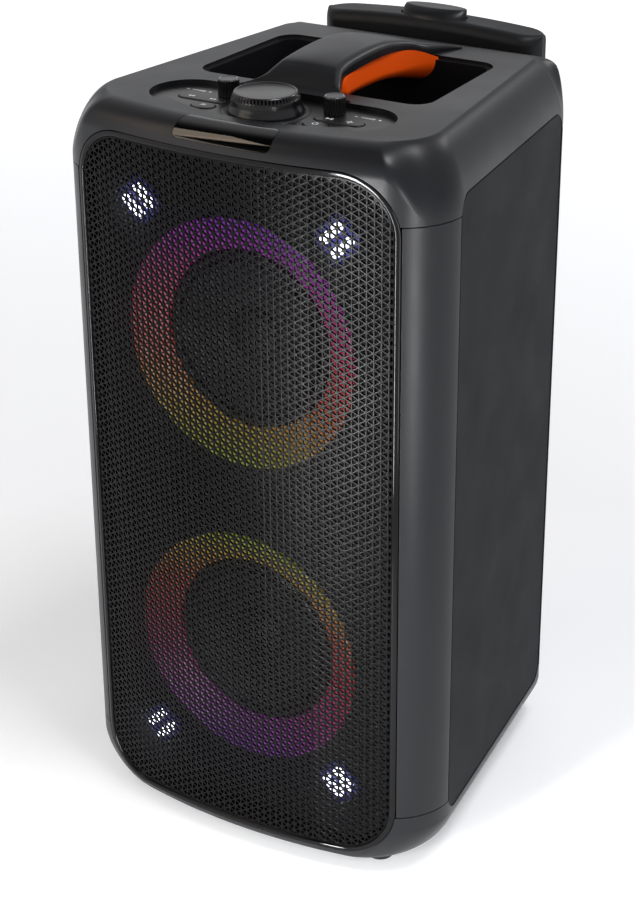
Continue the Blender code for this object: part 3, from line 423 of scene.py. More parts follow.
def well_outline(grow=0.0):
    corners = [(-90 * MM - grow, -42 * MM - grow), (90 * MM + grow, -42 * MM - grow),
               (86 * MM + grow, 71 * MM + grow), (-86 * MM - grow, 71 * MM + grow)]
    return rounded(corners, 12 * MM + grow, 12)


def front_opening():
    outline = rounded_box(127.3 * MM, 14.7 * MM, 538.3 * MM, 42.3 * MM)
    return prism("opening", outline, FRONT_Y - 10 * MM, -128 * MM, along='Y')


BROW_REACH = 21 * MM


def brow(turn, lift, out):
    """A point on the rounded front edge of the top cap, 'turn' round the bow and 'lift' up the edge."""
    inset, height, _ = TOP_EDGE["front"]
    radial = BOW_R - inset * (1 - cos(lift)) + out * cos(lift)
    z = TOP_Z - height * (1 - sin(lift)) + out * sin(lift)
    return (BOW_C.x + radial * sin(turn), BOW_C.y - radial * cos(turn), z)


def brow_patch(name, half_x, lifts, outs, corner, mat=None):
    """A curved slab that lies on the brow between two depths, with round corners."""
    span = (lifts[1] - lifts[0]) * BROW_REACH
    places = []
    for k in range(25):
        d = span * (0.5 - 0.5 * cos(pi * k / 24))
        near = min(d, span - d)
        half = half_x
        if near < corner:
            half = half_x - corner + sqrt(max(corner ** 2 - (corner - near) ** 2, 0))
        places.append((lifts[0] + d / BROW_REACH, half))
    rows = []
    for lift, half in places:
        turns = [half / BOW_R * (2 * i / 16 - 1) for i in range(17)]
        rows.append([[brow(t, lift, out) for t in turns] for out in outs])
    bm = bmesh.new()
    grid = [[[bm.verts.new(p) for p in line] for line in row] for row in rows]
    for a, b in zip(grid, grid[1:]):
        for side in (0, 1):
            for i in range(16):
                bm.faces.new((a[side][i], a[side][i + 1], b[side][i + 1], b[side][i]))
        for i in (0, 16):
            bm.faces.new((a[0][i], a[1][i], b[1][i], b[0][i]))
    for row in (grid[0], grid[-1]):
        for i in range(16):
            bm.faces.new((row[0][i], row[0][i + 1], row[1][i + 1], row[1][i]))
    return to_piece(name, bm, mat)


# Satin ABS: a fine spark-eroded mould finish that blurs reflections into soft bands. The grain is really
# about 0.2 mm; it is drawn at 0.7 mm so that it shows.
ABS_SATIN = grain(surface("moulded ABS, satin", "#131417", IOR=1.53, Specular_IOR_Level=0.28), 0.7 * MM,
                  0.02 * MM, (0.33, 0.4), 0.15)

VOLUME_AT, TONE_AT = (0, -96 * MM), (42 * MM, -77 * MM)
ROCKER_AT, OVAL_AT = (54 * MM, -91.5 * MM), (44 * MM, -105.5 * MM)
DISPLAY_LIFTS = (radians(25), radians(87.9))

top_cap = rounded_cap("crown_moulding", HIGH_SEAM_Z + GAP, TOP_Z, TOP_EDGE, ABS_SATIN)
top_tools = [loft("hollow", [[(x, y, z) for x, y, _ in plan(*inset)] for z, inset in (
    (HIGH_SEAM_Z - WALL, (WALL, WALL, WALL, CORNER_R - WALL, REAR_R - WALL)),
    (HIGH_SEAM_Z + 4 * WALL, (WALL, WALL, WALL, CORNER_R - WALL, REAR_R - WALL)),
    (SLAB_LOW_Z, (2 * WALL, 5 * WALL, 2 * WALL, 46 * MM, 12 * MM)))]),
    front_opening(),
    prism("deck", deck_outline(), DECK_Z, TOP_Z + WALL),
    prism("well", well_outline(), SLAB_LOW_Z - WALL, TOP_Z + WALL),
    prism("well_rim", well_outline(2.5 * MM), TOP_Z - 2.5 * MM, TOP_Z + WALL),
    prism("shaft", ellipse(*VOLUME_AT, 6 * MM, 6 * MM, 32), 530 * MM, 570 * MM),
    brow_patch("display", 38.4 * MM, (radians(24.2), radians(88.6)), (3 * MM, -2 * MM), 5 * MM)]
top_tools += [side_slab("notch", way, GAP, (10 * MM, -5 * MM)) for way in (-1, 1)]
for way in (-1, 1):
    top_tools += [
        prism("shaft", ellipse(way * TONE_AT[0], TONE_AT[1], 4 * MM, 4 * MM, 24), 530 * MM, 570 * MM),
        prism("rocker", pill(way * ROCKER_AT[0], ROCKER_AT[1], 19.1 * MM, 5.6 * MM), 530 * MM, 570 * MM),
        prism("oval", ellipse(way * OVAL_AT[0], OVAL_AT[1], 9.6 * MM, 7.1 * MM), 530 * MM, 570 * MM)]
carve(top_cap, *top_tools)
fit(soften(top_cap, 0.5 * MM), "cabinet", "abs_satin", "top_cap")

# The deck has a thin inlay in darker, smoother ABS, snapped into the recess.
ABS_DECK = grain(surface("moulded ABS, deck inlay", "#0e0e10", IOR=1.53, Specular_IOR_Level=0.35), 0.6 * MM,
                 0.012 * MM, (0.28, 0.36), 0.15)
inlay = prism("deck_inlay", deck_outline(-0.35 * MM), DECK_Z + 0.02 * MM, DECK_Z + 0.35 * MM, ABS_DECK)
holes = [prism("collar_hole", ellipse(*VOLUME_AT, 26.2 * MM, 26.2 * MM, 96), 540 * MM, 560 * MM)]
for way in (-1, 1):
    holes += [prism("rocker", pill(way * ROCKER_AT[0], ROCKER_AT[1], 19.2 * MM, 5.7 * MM), 540 * MM, 560 * MM),
              prism("oval", ellipse(way * OVAL_AT[0], OVAL_AT[1], 9.7 * MM, 7.2 * MM), 540 * MM, 560 * MM),
              prism("shaft", ellipse(way * TONE_AT[0], TONE_AT[1], 4 * MM, 4 * MM, 24), 540 * MM, 560 * MM)]
carve(inlay, *holes)
fit(soften(inlay, 0), "cabinet", "abs_gloss")


# ---------------------------------------------------------------- bottom cap
# The base moulding, in the same satin ABS as the crown. Its rounded edge lifts the outline off the floor.

LOW_SEAM_Z, BASE_Z = 52 * MM, 7.5 * MM
BOTTOM_EDGE = {"front": (6.4 * MM, 25 * MM, 1.25), "side": (29 * MM, 32 * MM, 1.25),
               "rear": (14 * MM, 20 * MM, 1.25), "corner": 43 * MM, "turn": 17}


def arch(name, way):
    """The space round one wheel."""
    low_x, high_x = sorted((way * 60.2 * MM, way * 90 * MM))
    return block(name, (low_x, 83.5 * MM, -5 * MM), (high_x, 170 * MM, 77 * MM))


bottom_cap = rounded_cap("base_moulding", LOW_SEAM_Z - GAP, BASE_Z, BOTTOM_EDGE, ABS_SATIN)
bottom_tools = [loft("hollow", [[(x, y, z) for x, y, _ in plan(*inset)] for z, inset in (
    (LOW_SEAM_Z + WALL, (WALL, WALL, WALL, CORNER_R - WALL, REAR_R - WALL)),
    (LOW_SEAM_Z - 2 * WALL, (WALL, WALL, WALL, CORNER_R - WALL, REAR_R - WALL)),
    (BASE_Z + WALL, (20 * MM, 24 * MM, 16 * MM, 24 * MM, 12 * MM)))]),
    front_opening()]
bottom_tools += [side_slab("notch", way, GAP, (10 * MM, -5 * MM)) for way in (-1, 1)]
bottom_tools += [arch("arch", way) for way in (-1, 1)]
carve(bottom_cap, *bottom_tools)
fit(soften(bottom_cap, 0.5 * MM), "cabinet", "abs_satin", "bottom_cap")


# ---------------------------------------------------------------- corner strips and side panels
# Two rounded front corners in satin ABS between the caps, and two flat sides let into the caps. The sides
# are moulded with a leather-fine texture that takes the shine off them.

for way, word in ((-1, "left"), (1, "right")):
    end = radians(90) - 2 * GAP / CORNER_R
    section = []
    for r, order in ((CORNER_R, 1), (CORNER_R - 3 * MM, -1)):
        start = asin((127.6 * MM - CORNER_C.x) / r)
        angles = [start + (end - start) * k / 24 for k in range(25)][::order]
        section += [(way * (CORNER_C.x + r * sin(a)), CORNER_C.y - r * cos(a)) for a in angles]
    strip = prism(f"corner_moulding_{word}", section, LOW_SEAM_Z + GAP, HIGH_SEAM_Z - GAP, ABS_SATIN)
    fit(soften(strip, 0.35 * MM), "cabinet", "abs_satin", f"corner_strip_{word}")

# Textured ABS: a coarser acid-etched mould, so it looks flatter and a little greyer. Grain drawn at 1 mm.
ABS_TEXTURED = grain(surface("moulded ABS, etched texture", "#141518", IOR=1.5, Specular_IOR_Level=0.06),
                     1.0 * MM, 0.05 * MM, (0.5, 0.58), 0.25)
for way, word in ((-1, "left"), (1, "right")):
    side = side_slab(f"side_sheet_{word}", way, 0, (-0.4 * MM, -3.4 * MM), ABS_TEXTURED)
    fit(soften(side, 0.6 * MM), "cabinet", "abs_textured", f"side_panel_{word}")


# ---------------------------------------------------------------- rear panel
# The moulded back wraps both rear corners. It has a mouth for the port, a bay for the sockets and the wheel
# wells, and is held by recessed screws round its edge.

PORT_Z = 156.5 * MM
REARWARD = (-pi / 2, 0, 0)


def port_hole():
    return turned("port_hole", [(0, 10 * MM), (28.4 * MM, 10 * MM), (28.4 * MM, -60 * MM), (0, -60 * MM)],
                  at=(0, 154 * MM, PORT_Z), turn=REARWARD)


join = side_point(REAR_Y - REAR_R).y + 2 * MM + 2 * GAP
skins = []
for inset, r_rear in ((0, REAR_R), (3 * MM, REAR_R - 3 * MM)):
    row = [(x, y) for x, y, _ in plan(inset, inset, inset, CORNER_R, r_rear) if y > join]
    edge_x = side_point(join, -inset).x
    skins.append([(edge_x, join)] + row + [(-edge_x, join)])
rear_panel = prism("rear_moulding", skins[0] + skins[1][::-1], LOW_SEAM_Z + GAP, HIGH_SEAM_Z - GAP, ABS_TEXTURED)
carve(rear_panel, port_hole(), block("bay", (-32 * MM, 112 * MM, 248 * MM), (32 * MM, 125 * MM, 402 * MM)),
      arch("arch", -1), arch("arch", 1))
fit(soften(rear_panel, 0.5 * MM), "cabinet", "abs_textured", "rear_panel")

# Black-zinc screws with a six-lobe socket.
ZINC_BLACK = grain(surface("steel, black zinc", "#1b1c1e", Metallic=0.9), 0.3 * MM, 0.01 * MM, (0.3, 0.45))


def screw_head(name, at, turn=REARWARD, r=3.4 * MM, body="cabinet"):
    """A low domed head with a star socket sunk in it."""
    steps = 72
    rings = []
    for scale, z, star in ((1.0, -1.0, 0), (1.0, 0.15, 0), (0.9, 0.45, 0), (0.62, 0.6, 0), (0.5, 0.6, 0.09),
                           (0.48, -0.4, 0.09), (0.1, -0.5, 0)):
        rings.append([((r * scale * (1 + star * cos(12 * pi * k / steps)) * cos(2 * pi * k / steps)),
                       (r * scale * (1 + star * cos(12 * pi * k / steps)) * sin(2 * pi * k / steps)), z * MM)
                      for k in range(steps)])
    head = loft(name, rings, ZINC_BLACK)
    facing = Matrix.Rotation(turn[0], 3, 'X') @ Matrix.Rotation(turn[1], 3, 'Y')
    place = Matrix.LocRotScale(Vector(at), facing, None)
    head.data.transform(place)
    return fit(soften(head, 0), body, "steel_bright")


for k, (x, z) in enumerate(((-113, 70), (113, 70), (-108, 200), (108, 200), (-108, 350), (108, 350), (-108, 488),
                            (108, 488))):
    screw_head(f"rear_screw_{k + 1}", (x * MM, REAR_Y + 0.1 * MM, z * MM))


# ---------------------------------------------------------------- grille bezel
# A thin frame in gloss black ABS that clips into the front opening and holds the edge of the grille.

BEZEL_HALF, BEZEL_LOW_Z, BEZEL_HIGH_Z, BEZEL_R = 127 * MM, 15 * MM, 538 * MM, 42 * MM


def front_y(x):
    """Where the outer face of the front is, at a distance x from the middle."""
    x = abs(x)
    if x <= BOW_R * CORNER_C.x / (BOW_R - CORNER_R):
        return BOW_C.y - sqrt(BOW_R ** 2 - x ** 2)
    return CORNER_C.y - sqrt(CORNER_R ** 2 - (x - CORNER_C.x) ** 2)


def add_columns(outline, longest=8 * MM):
    """Splits the level runs of an outline so that they can follow the bow."""
    out = []
    for i, (x, z) in enumerate(outline):
        out.append((x, z))
        x2, z2 = outline[(i + 1) % len(outline)]
        parts = max(1, round(abs(x2 - x) / longest))
        out += [(x + (x2 - x) * k / parts, z + (z2 - z) * k / parts) for k in range(1, parts)]
    return out


def frame_outline(inset):
    return rounded_box(BEZEL_HALF - inset, BEZEL_LOW_Z + inset, BEZEL_HIGH_Z - inset, BEZEL_R - inset)


# Gloss ABS: a polished mould gives it a mirror-like skin with the faintest ripple.
ABS_GLOSS = grain(surface("moulded ABS, polished black", "#060607", IOR=1.53, Specular_IOR_Level=0.2), 6 * MM,
                  0.02 * MM, (0.06, 0.11))

bezel_profile = ((0, 7.0), (0, 0.9), (0.15, 0.45), (0.45, 0.12), (0.9, 0), (2.6, 0), (3.4, 0.2), (4.0, 0.7),
                 (4.4, 1.5), (4.5, 2.4), (4.5, 7.0))
template = add_columns(frame_outline(0))
rings = []
for inset, depth in bezel_profile:
    shrunk = frame_outline(inset * MM)
    matched = []
    for i, (x, z) in enumerate(frame_outline(0)):
        x2, z2 = frame_outline(0)[(i + 1) % len(shrunk)]
        u, w = shrunk[i]
        u2, w2 = shrunk[(i + 1) % len(shrunk)]
        parts = max(1, round(abs(x2 - x) / (8 * MM)))
        matched += [(u + (u2 - u) * k / parts, w + (w2 - w) * k / parts) for k in range(parts)]
    rings.append([(x, front_y(x) + depth * MM, z) for x, z in matched])
bezel = loft("grille_frame", rings, ABS_GLOSS, ring=True)
fit(soften(bezel, 0, sharp=60), "cabinet", "abs_gloss", "grille_bezel")


# ---------------------------------------------------------------- grille
# A bowed grille pierced with triangles: upright ribs 5 mm apart crossed by two slanting sets, so every hole
# is an equal-sided triangle with rounded corners. Ribs are about 1 mm wide with a soft crown, coated satin
# black.

COLUMN = 5.0 * MM
RISE = COLUMN / cos(radians(30))
RIB = 0.95 * MM
GRILLE_SET, GRILLE_T = 1.6 * MM, 1.5 * MM
CROWN = 0.1 * MM

# Satin black coat on steel: thin paint with a slight orange peel.
COAT_BLACK = grain(surface("powder-coated steel, satin black", "#050506", IOR=1.5, Specular_IOR_Level=0.1),
                   1.2 * MM, 0.02 * MM, (0.28, 0.36), 0.1)


def clipped(polygon, limit):
    """The part of a polygon inside a convex limit that runs anticlockwise."""
    out = list(polygon)
    for i, a in enumerate(limit):
        b = limit[(i + 1) % len(limit)]
        edge_x, edge_z = b[0] - a[0], b[1] - a[1]
        sides = [edge_x * (p[1] - a[1]) - edge_z * (p[0] - a[0]) for p in out]
        if min(sides, default=0) >= 0:
            continue
        kept = []
        for k, p in enumerate(out):
            q, s, t = out[k - 1], sides[k - 1], sides[k]
            if (s < 0) != (t < 0):
                kept.append((q[0] + (p[0] - q[0]) * s / (s - t), q[1] + (p[1] - q[1]) * s / (s - t)))
            if t >= 0:
                kept.append(p)
        out = kept
    return out


def area(polygon):
    return abs(sum(a[0] * b[1] - b[0] * a[1] for a, b in zip(polygon, polygon[1:] + polygon[:1]))) / 2


def make_lattice():
    edge = frame_outline(4.6 * MM)
    rim = frame_outline(5.6 * MM)
    points, faces, index = [], [], {}

    def point(x, z, depth):
        key = (round(x * 1e7), round(z * 1e7), round(depth * 1e7))
        if key not in index:
            index[key] = len(points)
            points.append((x, front_y(x) + GRILLE_SET + depth, z))
        return index[key]

    def cell(corners):
        cx, cz = (sum(p[i] for p in corners) / 3 for i in (0, 1))
        inradius = RISE * sqrt(3) / 6
        scale = (inradius - RIB / 2) / inradius
        small = [(cx + (x - cx) * scale, cz + (z - cz) * scale) for x, z in corners]
        hole = []
        for i, (x, z) in enumerate(small):
            for other in (small[i - 1], small[(i + 1) % 3]):
                hole.append((x + (other[0] - x) * 0.2, z + (other[1] - z) * 0.2))
        inside = len(clipped(corners, edge)) == 3 and area(clipped(corners, edge)) > 0.999 * area(corners)
        if inside and area(clipped(hole, rim)) > 0.999 * area(hole):
            top = [point(x, z, 0) for x, z in corners]
            lip = [point(x, z, CROWN) for x, z in hole]
            low = [point(x, z, GRILLE_T) for x, z in hole]
            for i in range(3):
                j = (i + 1) % 3
                faces.append((top[i], lip[2 * i], lip[2 * i + 1]))
                faces.append((top[i], lip[2 * i + 1], lip[2 * j], top[j]))
            for i in range(6):
                j = (i + 1) % 6
                faces.append((lip[i], low[i], low[j], lip[j]))
            return
        outer = clipped(corners, edge)
        if len(outer) < 3 or area(outer) < 0.05 * MM ** 2:
            return
        inner = clipped(hole, rim)
        if len(inner) < 3 or area(inner) < 0.8 * MM ** 2:
            faces.append([point(x, z, 0) for x, z in outer])
            return
        every = [point(x, z, 0) for x, z in outer] + [point(x, z, CROWN) for x, z in inner]
        loops = [[Vector((x, z, 0)) for x, z in loop] for loop in (outer, inner)]
        faces.extend(tuple(every[v] for v in face) for face in tessellate_polygon(loops))
        low = [point(x, z, GRILLE_T) for x, z in inner]
        lip = every[len(outer):]
        for i in range(len(inner)):
            j = (i + 1) % len(inner)
            faces.append((lip[i], low[i], low[j], lip[j]))

    columns = int(BEZEL_HALF / COLUMN) + 1
    for k in range(-columns, columns):
        odd = k % 2
        x0, x1 = k * COLUMN, (k + 1) * COLUMN
        for j in range(0, int(BEZEL_HIGH_Z / RISE) + 2):
            z0 = (j + odd / 2) * RISE
            z1 = (j + (1 - odd) / 2) * RISE
            if odd:
                cell([(x0, z0), (x1, z1 + RISE), (x0, z0 + RISE)])
                cell([(x1, z1), (x1, z1 + RISE), (x0, z0)])
            else:
                cell([(x0, z0), (x1, z1), (x0, z0 + RISE)])
                cell([(x1, z1), (x1, z1 + RISE), (x0, z0 + RISE)])
    mesh = bpy.data.meshes.new("grille_lattice")
    mesh.from_pydata(points, [], [f for f in faces if len(set(f)) == len(f)])
    mesh.validate()
    mesh.materials.append(COAT_BLACK)
    mesh.shade_smooth()
    mesh.set_sharp_from_angle(angle=radians(75))
    lattice = bpy.data.objects.new("grille_lattice", mesh)
    bpy.context.scene.collection.objects.link(lattice)
    return lattice


fit(make_lattice(), "cabinet", "steel_black", "grille")


# ---------------------------------------------------------------- baffle and woofers
# A black-painted fibreboard carries two drivers. Each has a coated paper cone with a dust cap and a half-
# round rubber surround. Only a little of them shows behind the grille.

BAFFLE_Y = -133.5 * MM
WOOFER_Z = {"lower": 156.5 * MM, "upper": 395.5 * MM}
FORWARD = (pi / 2, 0, 0)

BOARD_PAINT = grain(surface("fibreboard, black paint", "#0d0d0e"), 1.5 * MM, 0.05 * MM, (0.75, 0.9), 0.3)
PAPER = grain(surface("paper pulp cone, coated", "#101011"), 1.2 * MM, 0.06 * MM, (0.55, 0.75), 0.25)
NITRILE = grain(surface("nitrile rubber", "#0e0e0f"), 0.8 * MM, 0.02 * MM, (0.45, 0.55), 0.1)

baffle = prism("driver_board", rounded_box(116 * MM, 20 * MM, 530 * MM, 34 * MM), BAFFLE_Y, BAFFLE_Y + 12.5 * MM,
               BOARD_PAINT, along='Y')
carve(baffle, *[turned("driver_hole", [(0, 9 * MM), (87.2 * MM, 9 * MM), (87.2 * MM, -20 * MM), (0, -20 * MM)],
                       at=(0, BAFFLE_Y, z), turn=FORWARD) for z in WOOFER_Z.values()])
fit(soften(baffle, 0.4 * MM), "cabinet", "board_black", "front_baffle")

for word, z in WOOFER_Z.items():
    turns = [pi / 2 * k / 10 for k in range(11)]
    dome = [(21 * MM * sin(a), -7 * MM + 6.5 * MM * cos(a) - 4.6 * MM) for a in turns]
    flare = [(22 * MM + 34 * MM * t, -11.4 * MM + 10 * MM * t ** 1.35) for t in [k / 14 for k in range(15)]]
    back = [(56.3 * MM, -2.2 * MM), (54 * MM, -3.2 * MM), (20 * MM, -13.5 * MM), (16 * MM, -26 * MM),
            (14.6 * MM, -26 * MM), (14.4 * MM, -13 * MM), (0, -12.6 * MM)]
    cone = turned(f"cone_{word}", dome + flare + back, PAPER, at=(0, BAFFLE_Y + 8.5 * MM, z), turn=FORWARD)
    fit(soften(cone, 0), f"cone_{word}", "cone_paper", f"woofer_cone_{word}")
    roll = [(60.6 * MM + r * cos(a), -12.5 * MM + r * sin(a))
            for r, order in ((3.7 * MM, 1), (2.7 * MM, -1)) for a in [pi * k / 14 for k in range(15)][::order]]
    surround = turned(f"half_roll_{word}", roll, NITRILE, ring=True, at=(0, BAFFLE_Y, z), turn=FORWARD)
    fit(soften(surround, 0), "cabinet", "rubber_black", f"woofer_surround_{word}")


# ---------------------------------------------------------------- light rings
# A milky polycarbonate cone round each driver, lit from behind by a strip of colour LEDs. The colours run
# from violet through crimson and orange to olive yellow, downwards on the upper ring and upwards on the
# lower one.

RING_OUT_R, RING_IN_R = 88.6 * MM, 65.5 * MM
RING_COLOURS = ((0.0, "#6f7a10"), (0.16, "#8a6a10"), (0.34, "#8a3012"), (0.52, "#8c1226"), (0.7, "#860e56"),
                (0.86, "#7a1480"), (1.0, "#64188a"))


def glowing(name, way):
    """A lit diffuser whose colours run from its bottom to its top, or the other way."""
    mat = surface(name, "#2c2c2e", Roughness=0.45, Emission_Strength=0.85)
    tree = mat.node_tree
    where = add(tree, "ShaderNodeTexCoord").outputs["Object"]
    along = add(tree, "ShaderNodeVectorMath", {"operation": 'DOT_PRODUCT'}, {0: where, 1: (0.12 * way, 0, way)})
    share = add(tree, "ShaderNodeMapRange", inputs={
        "Value": along.outputs["Value"], "From Min": -RING_OUT_R, "From Max": RING_OUT_R})
    ramp = add(tree, "ShaderNodeValToRGB", inputs={"Fac": share.outputs[0]}, stops=RING_COLOURS)
    tree.links.new(ramp.outputs["Color"], tree.nodes["Principled BSDF"].inputs["Emission Color"])
    return mat


for word, z in WOOFER_Z.items():
    way = 1 if word == "upper" else -1
    slope = [(RING_OUT_R - (RING_OUT_R - RING_IN_R) * t, 2.3 * MM - 12.7 * MM * t ** 0.9) for t in
             [k / 12 for k in range(13)]]
    profile = [(RING_OUT_R + 2.4 * MM, 0.3 * MM), (RING_OUT_R + 2.4 * MM, 1.7 * MM),
               (RING_OUT_R + 1.8 * MM, 2.3 * MM)]
    profile += slope + [(RING_IN_R, -12 * MM), (RING_OUT_R - 2.4 * MM, 0.3 * MM)]
    ring = turned(f"glow_ring_{word}", profile, glowing(f"polycarbonate diffuser, {word} ring", way), steps=128,
                  ring=True, turn=FORWARD)
    ring.location = (0, BAFFLE_Y, z)
    fit(soften(ring, 0), "cabinet", "diffuser", f"light_ring_{word}")


# ---------------------------------------------------------------- strobes
# Four lamp holders in the corners of the board. Each has two clear bars over white LEDs, square to the line from
# the middle of the front, on a polished tray. The blue-violet fringe round the bars is painted on the tray as glow,
# in place of the LED light it scatters.

STROBE_X, STROBE_Z = 78.5 * MM, {"lower": 65.5 * MM, "upper": 486.5 * MM}
LED_WHITE = surface("polycarbonate lens over white LEDs", "#dfe4ff", Roughness=0.15, Emission_Strength=3.5)
LED_WHITE.node_tree.nodes["Principled BSDF"].inputs["Emission Color"].default_value = linear("#e6e9ff")
tree = LED_WHITE.node_tree
where = add(tree, "ShaderNodeTexCoord").outputs["Object"]
cloud = add(tree, "ShaderNodeTexNoise", inputs={"Vector": where, "Scale": 1 / (4 * MM)})
ramp = add(tree, "ShaderNodeValToRGB", inputs={"Fac": cloud.outputs[0]},
           stops=((0.2, "#ccd0ff"), (0.8, "#ffffff")))
tree.links.new(ramp.outputs["Color"], tree.nodes["Principled BSDF"].inputs["Emission Color"])

# The tray is no lamp: its blue-violet emission, strongest near its middle, is a painted glow that stands for the
# light the LEDs scatter on it.
TRAY = surface("ABS tray, dark metallised, painted blue glow", "#2b2c3c", Metallic=0.7, Roughness=0.45, Emission_Strength=0.3)
tree = TRAY.node_tree
where = add(tree, "ShaderNodeTexCoord").outputs["Object"]
near = add(tree, "ShaderNodeVectorMath", {"operation": 'LENGTH'}, {0: where})
ramp = add(tree, "ShaderNodeMapRange", inputs={
    "Value": near.outputs["Value"], "From Min": 9 * MM, "From Max": 17 * MM, "To Min": 1.0, "To Max": 0.15})
glow = add(tree, "ShaderNodeMix", {"data_type": 'RGBA'},
           {0: ramp.outputs[0], 6: linear("#000000"), 7: linear("#5b5cf0")})
tree.links.new(glow.outputs[2], tree.nodes["Principled BSDF"].inputs["Emission Color"])



def lamp_bar(name, up):
    """A clear bar with a rounded face."""
    levels = ((0, -1.3 * MM), (0, -4.6 * MM), (0.5 * MM, -5.2 * MM), (1.4 * MM, -5.5 * MM))
    return loft(name, [[(u, y, v) for u, v in pill(0, up, 10 * MM - inset, 3.1 * MM - inset)]
                       for inset, y in levels], LED_WHITE)


for row, z in STROBE_Z.items():
    for way, word in ((-1, "left"), (1, "right")):
        lean = pi / 4 * (1 if (way > 0) == (z < WOOFER_Z["upper"]) else -1)
        at = Vector((way * STROBE_X, BAFFLE_Y, z))
        tray = prism(f"strobe_tray_{row}_{word}", rounded_box(15 * MM, -14 * MM, 14 * MM, 5 * MM), -0.3 * MM,
                     -2.2 * MM, TRAY, along='Y')
        well = prism("tray_well", rounded_box(13 * MM, -12 * MM, 12 * MM, 4 * MM), -3 * MM, -1.4 * MM, along='Y')
        carve(tray, well)
        soften(tray, 0.3 * MM)
        bars = lamp_bar(f"strobe_bars_{row}_{word}", 6 * MM)
        twin = lamp_bar("twin", -6 * MM)
        carve(bars, twin, how='UNION')
        soften(bars, 0)
        for piece in (tray, bars):
            piece.location = at
            piece.rotation_euler = (0, lean, 0)
        fit(tray, "cabinet", "lamp_lens", f"strobe_{row}_{word}")
        fit(bars, "cabinet", "lamp_lens")


# ---------------------------------------------------------------- display
# A smoked polycarbonate window follows the curve of the front edge. The unlit bar segments of a small display,
# given a faint painted glow, and a red standby lamp show through it.

smoked = bpy.data.materials.new("polycarbonate, smoked")
smoked.use_nodes = True
tree = smoked.node_tree
tree.nodes.remove(tree.nodes["Principled BSDF"])
tint = add(tree, "ShaderNodeBsdfTransparent", inputs={"Color": linear("#7d7874")})
mirror = add(tree, "ShaderNodeBsdfGlossy", inputs={"Color": linear("#ffffff"), "Roughness": 0.03})
view_gloss = add(tree, "ShaderNodeFresnel", inputs={"IOR": 1.58})
both = add(tree, "ShaderNodeMixShader", inputs={
    0: view_gloss.outputs[0], 1: tint.outputs[0], 2: mirror.outputs[0]})
tree.links.new(both.outputs[0], tree.nodes["Material Output"].inputs["Surface"])
lens = brow_patch("display_window", 38 * MM, DISPLAY_LIFTS, (-0.1 * MM, -0.9 * MM), 4.6 * MM, smoked)
fit(soften(lens, 0, sharp=30), "cabinet", "lens_smoked", "display_lens")

MASK = grain(surface("display mask, black ink", "#141313"), 0.5 * MM, 0.01 * MM, (0.4, 0.5), 0.1)
mask = brow_patch("display_mask", 37.6 * MM, (radians(26), radians(87)), (-1.2 * MM, -1.8 * MM), 4.2 * MM, MASK)
fit(soften(mask, 0, sharp=30), "cabinet", "lens_smoked")


def segment_paint(name, code, strength):
    """A marking behind the window that emits light, a little uneven: the red lamp is lit, while the glow on the
    unlit segments is painted.
    """
    mat = surface(name, code, Roughness=0.5, Emission_Strength=strength)
    tree = mat.node_tree
    where = add(tree, "ShaderNodeTexCoord").outputs["Object"]
    soft = add(tree, "ShaderNodeTexNoise", inputs={"Vector": where, "Scale": 900.0})
    mix = add(tree, "ShaderNodeMix", {"data_type": 'RGBA'},
              {0: soft.outputs[0], 6: tuple(0.8 * c for c in linear(code)[:3]) + (1.0,), 7: linear(code)})
    tree.links.new(mix.outputs[2], tree.nodes["Principled BSDF"].inputs["Emission Color"])
    return mat


def segment_bar(bm, x, lift, long, wide, upright):
    """One bar of a digit, drawn on the curve of the mask."""
    half_x, half_l = (wide, long) if upright else (long, wide)
    corners = [(x - half_x, lift - half_l), (x + half_x, lift - half_l), (x + half_x, lift + half_l),
               (x - half_x, lift + half_l)]
    tip = [brow(u / BOW_R, w / BROW_REACH, -1.1 * MM) for u, w in corners]
    root = [brow(u / BOW_R, w / BROW_REACH, -1.25 * MM) for u, w in corners]
    top = [bm.verts.new(p) for p in tip]
    low = [bm.verts.new(p) for p in root]
    bm.faces.new(top)
    bm.faces.new(low[::-1])
    for i in range(4):
        j = (i + 1) % 4
        bm.faces.new((low[i], low[j], top[j], top[i]))


bm = bmesh.new()
middle = radians(60) * BROW_REACH
for x in (-7 * MM, -1.5 * MM, 6 * MM, 11.5 * MM):
    for dx, dl, upright in ((0, 3.4, False), (0, 0, False), (0, -3.4, False), (-1.6, 1.7, True), (1.6, 1.7, True),
                            (-1.6, -1.7, True), (1.6, -1.7, True)):
        segment_bar(bm, x + dx * MM, middle + dl * MM, 1.2 * MM, 0.3 * MM, upright)
# The segments are unlit: their faint emission is a painted glow that lets them show through the window.
digits = to_piece("display_segments", bm, segment_paint("display segments, unlit grey, painted faint glow", "#8e8a88", 0.12))
fit(digits, "cabinet", "lens_smoked")
bm = bmesh.new()
segment_bar(bm, 22 * MM, middle - 1 * MM, 3.2 * MM, 0.5 * MM, False)
lamp = to_piece("standby_lamp", bm, segment_paint("red LED window", "#c8282c", 1.2))
fit(lamp, "cabinet", "lens_smoked")


# ---------------------------------------------------------------- volume knob
# A dished knob in black ABS, with a ring of fine notches over a plain band and a foot that flares to a
# skirt. It turns inside a low collar on the deck.

def fluted(name, profile, flutes, mat, at, per=6):
    """A turned body of (radius, height, flute depth) points, with upright flutes cut where depth is given."""
    steps = flutes * per
    bm = bmesh.new()
    rows = []
    for r, z, deep in profile:
        if r < 1e-7:
            rows.append([bm.verts.new((at[0], at[1], z))] * steps)
            continue
        row = []
        for k in range(steps):
            dip = deep * max(0.0, cos(2 * pi * k / per)) ** 0.7
            a = 2 * pi * k / steps
            row.append(bm.verts.new((at[0] + (r - dip) * cos(a), at[1] + (r - dip) * sin(a), z)))
        rows.append(row)
    stitch(bm, rows)
    return to_piece(name, bm, mat)


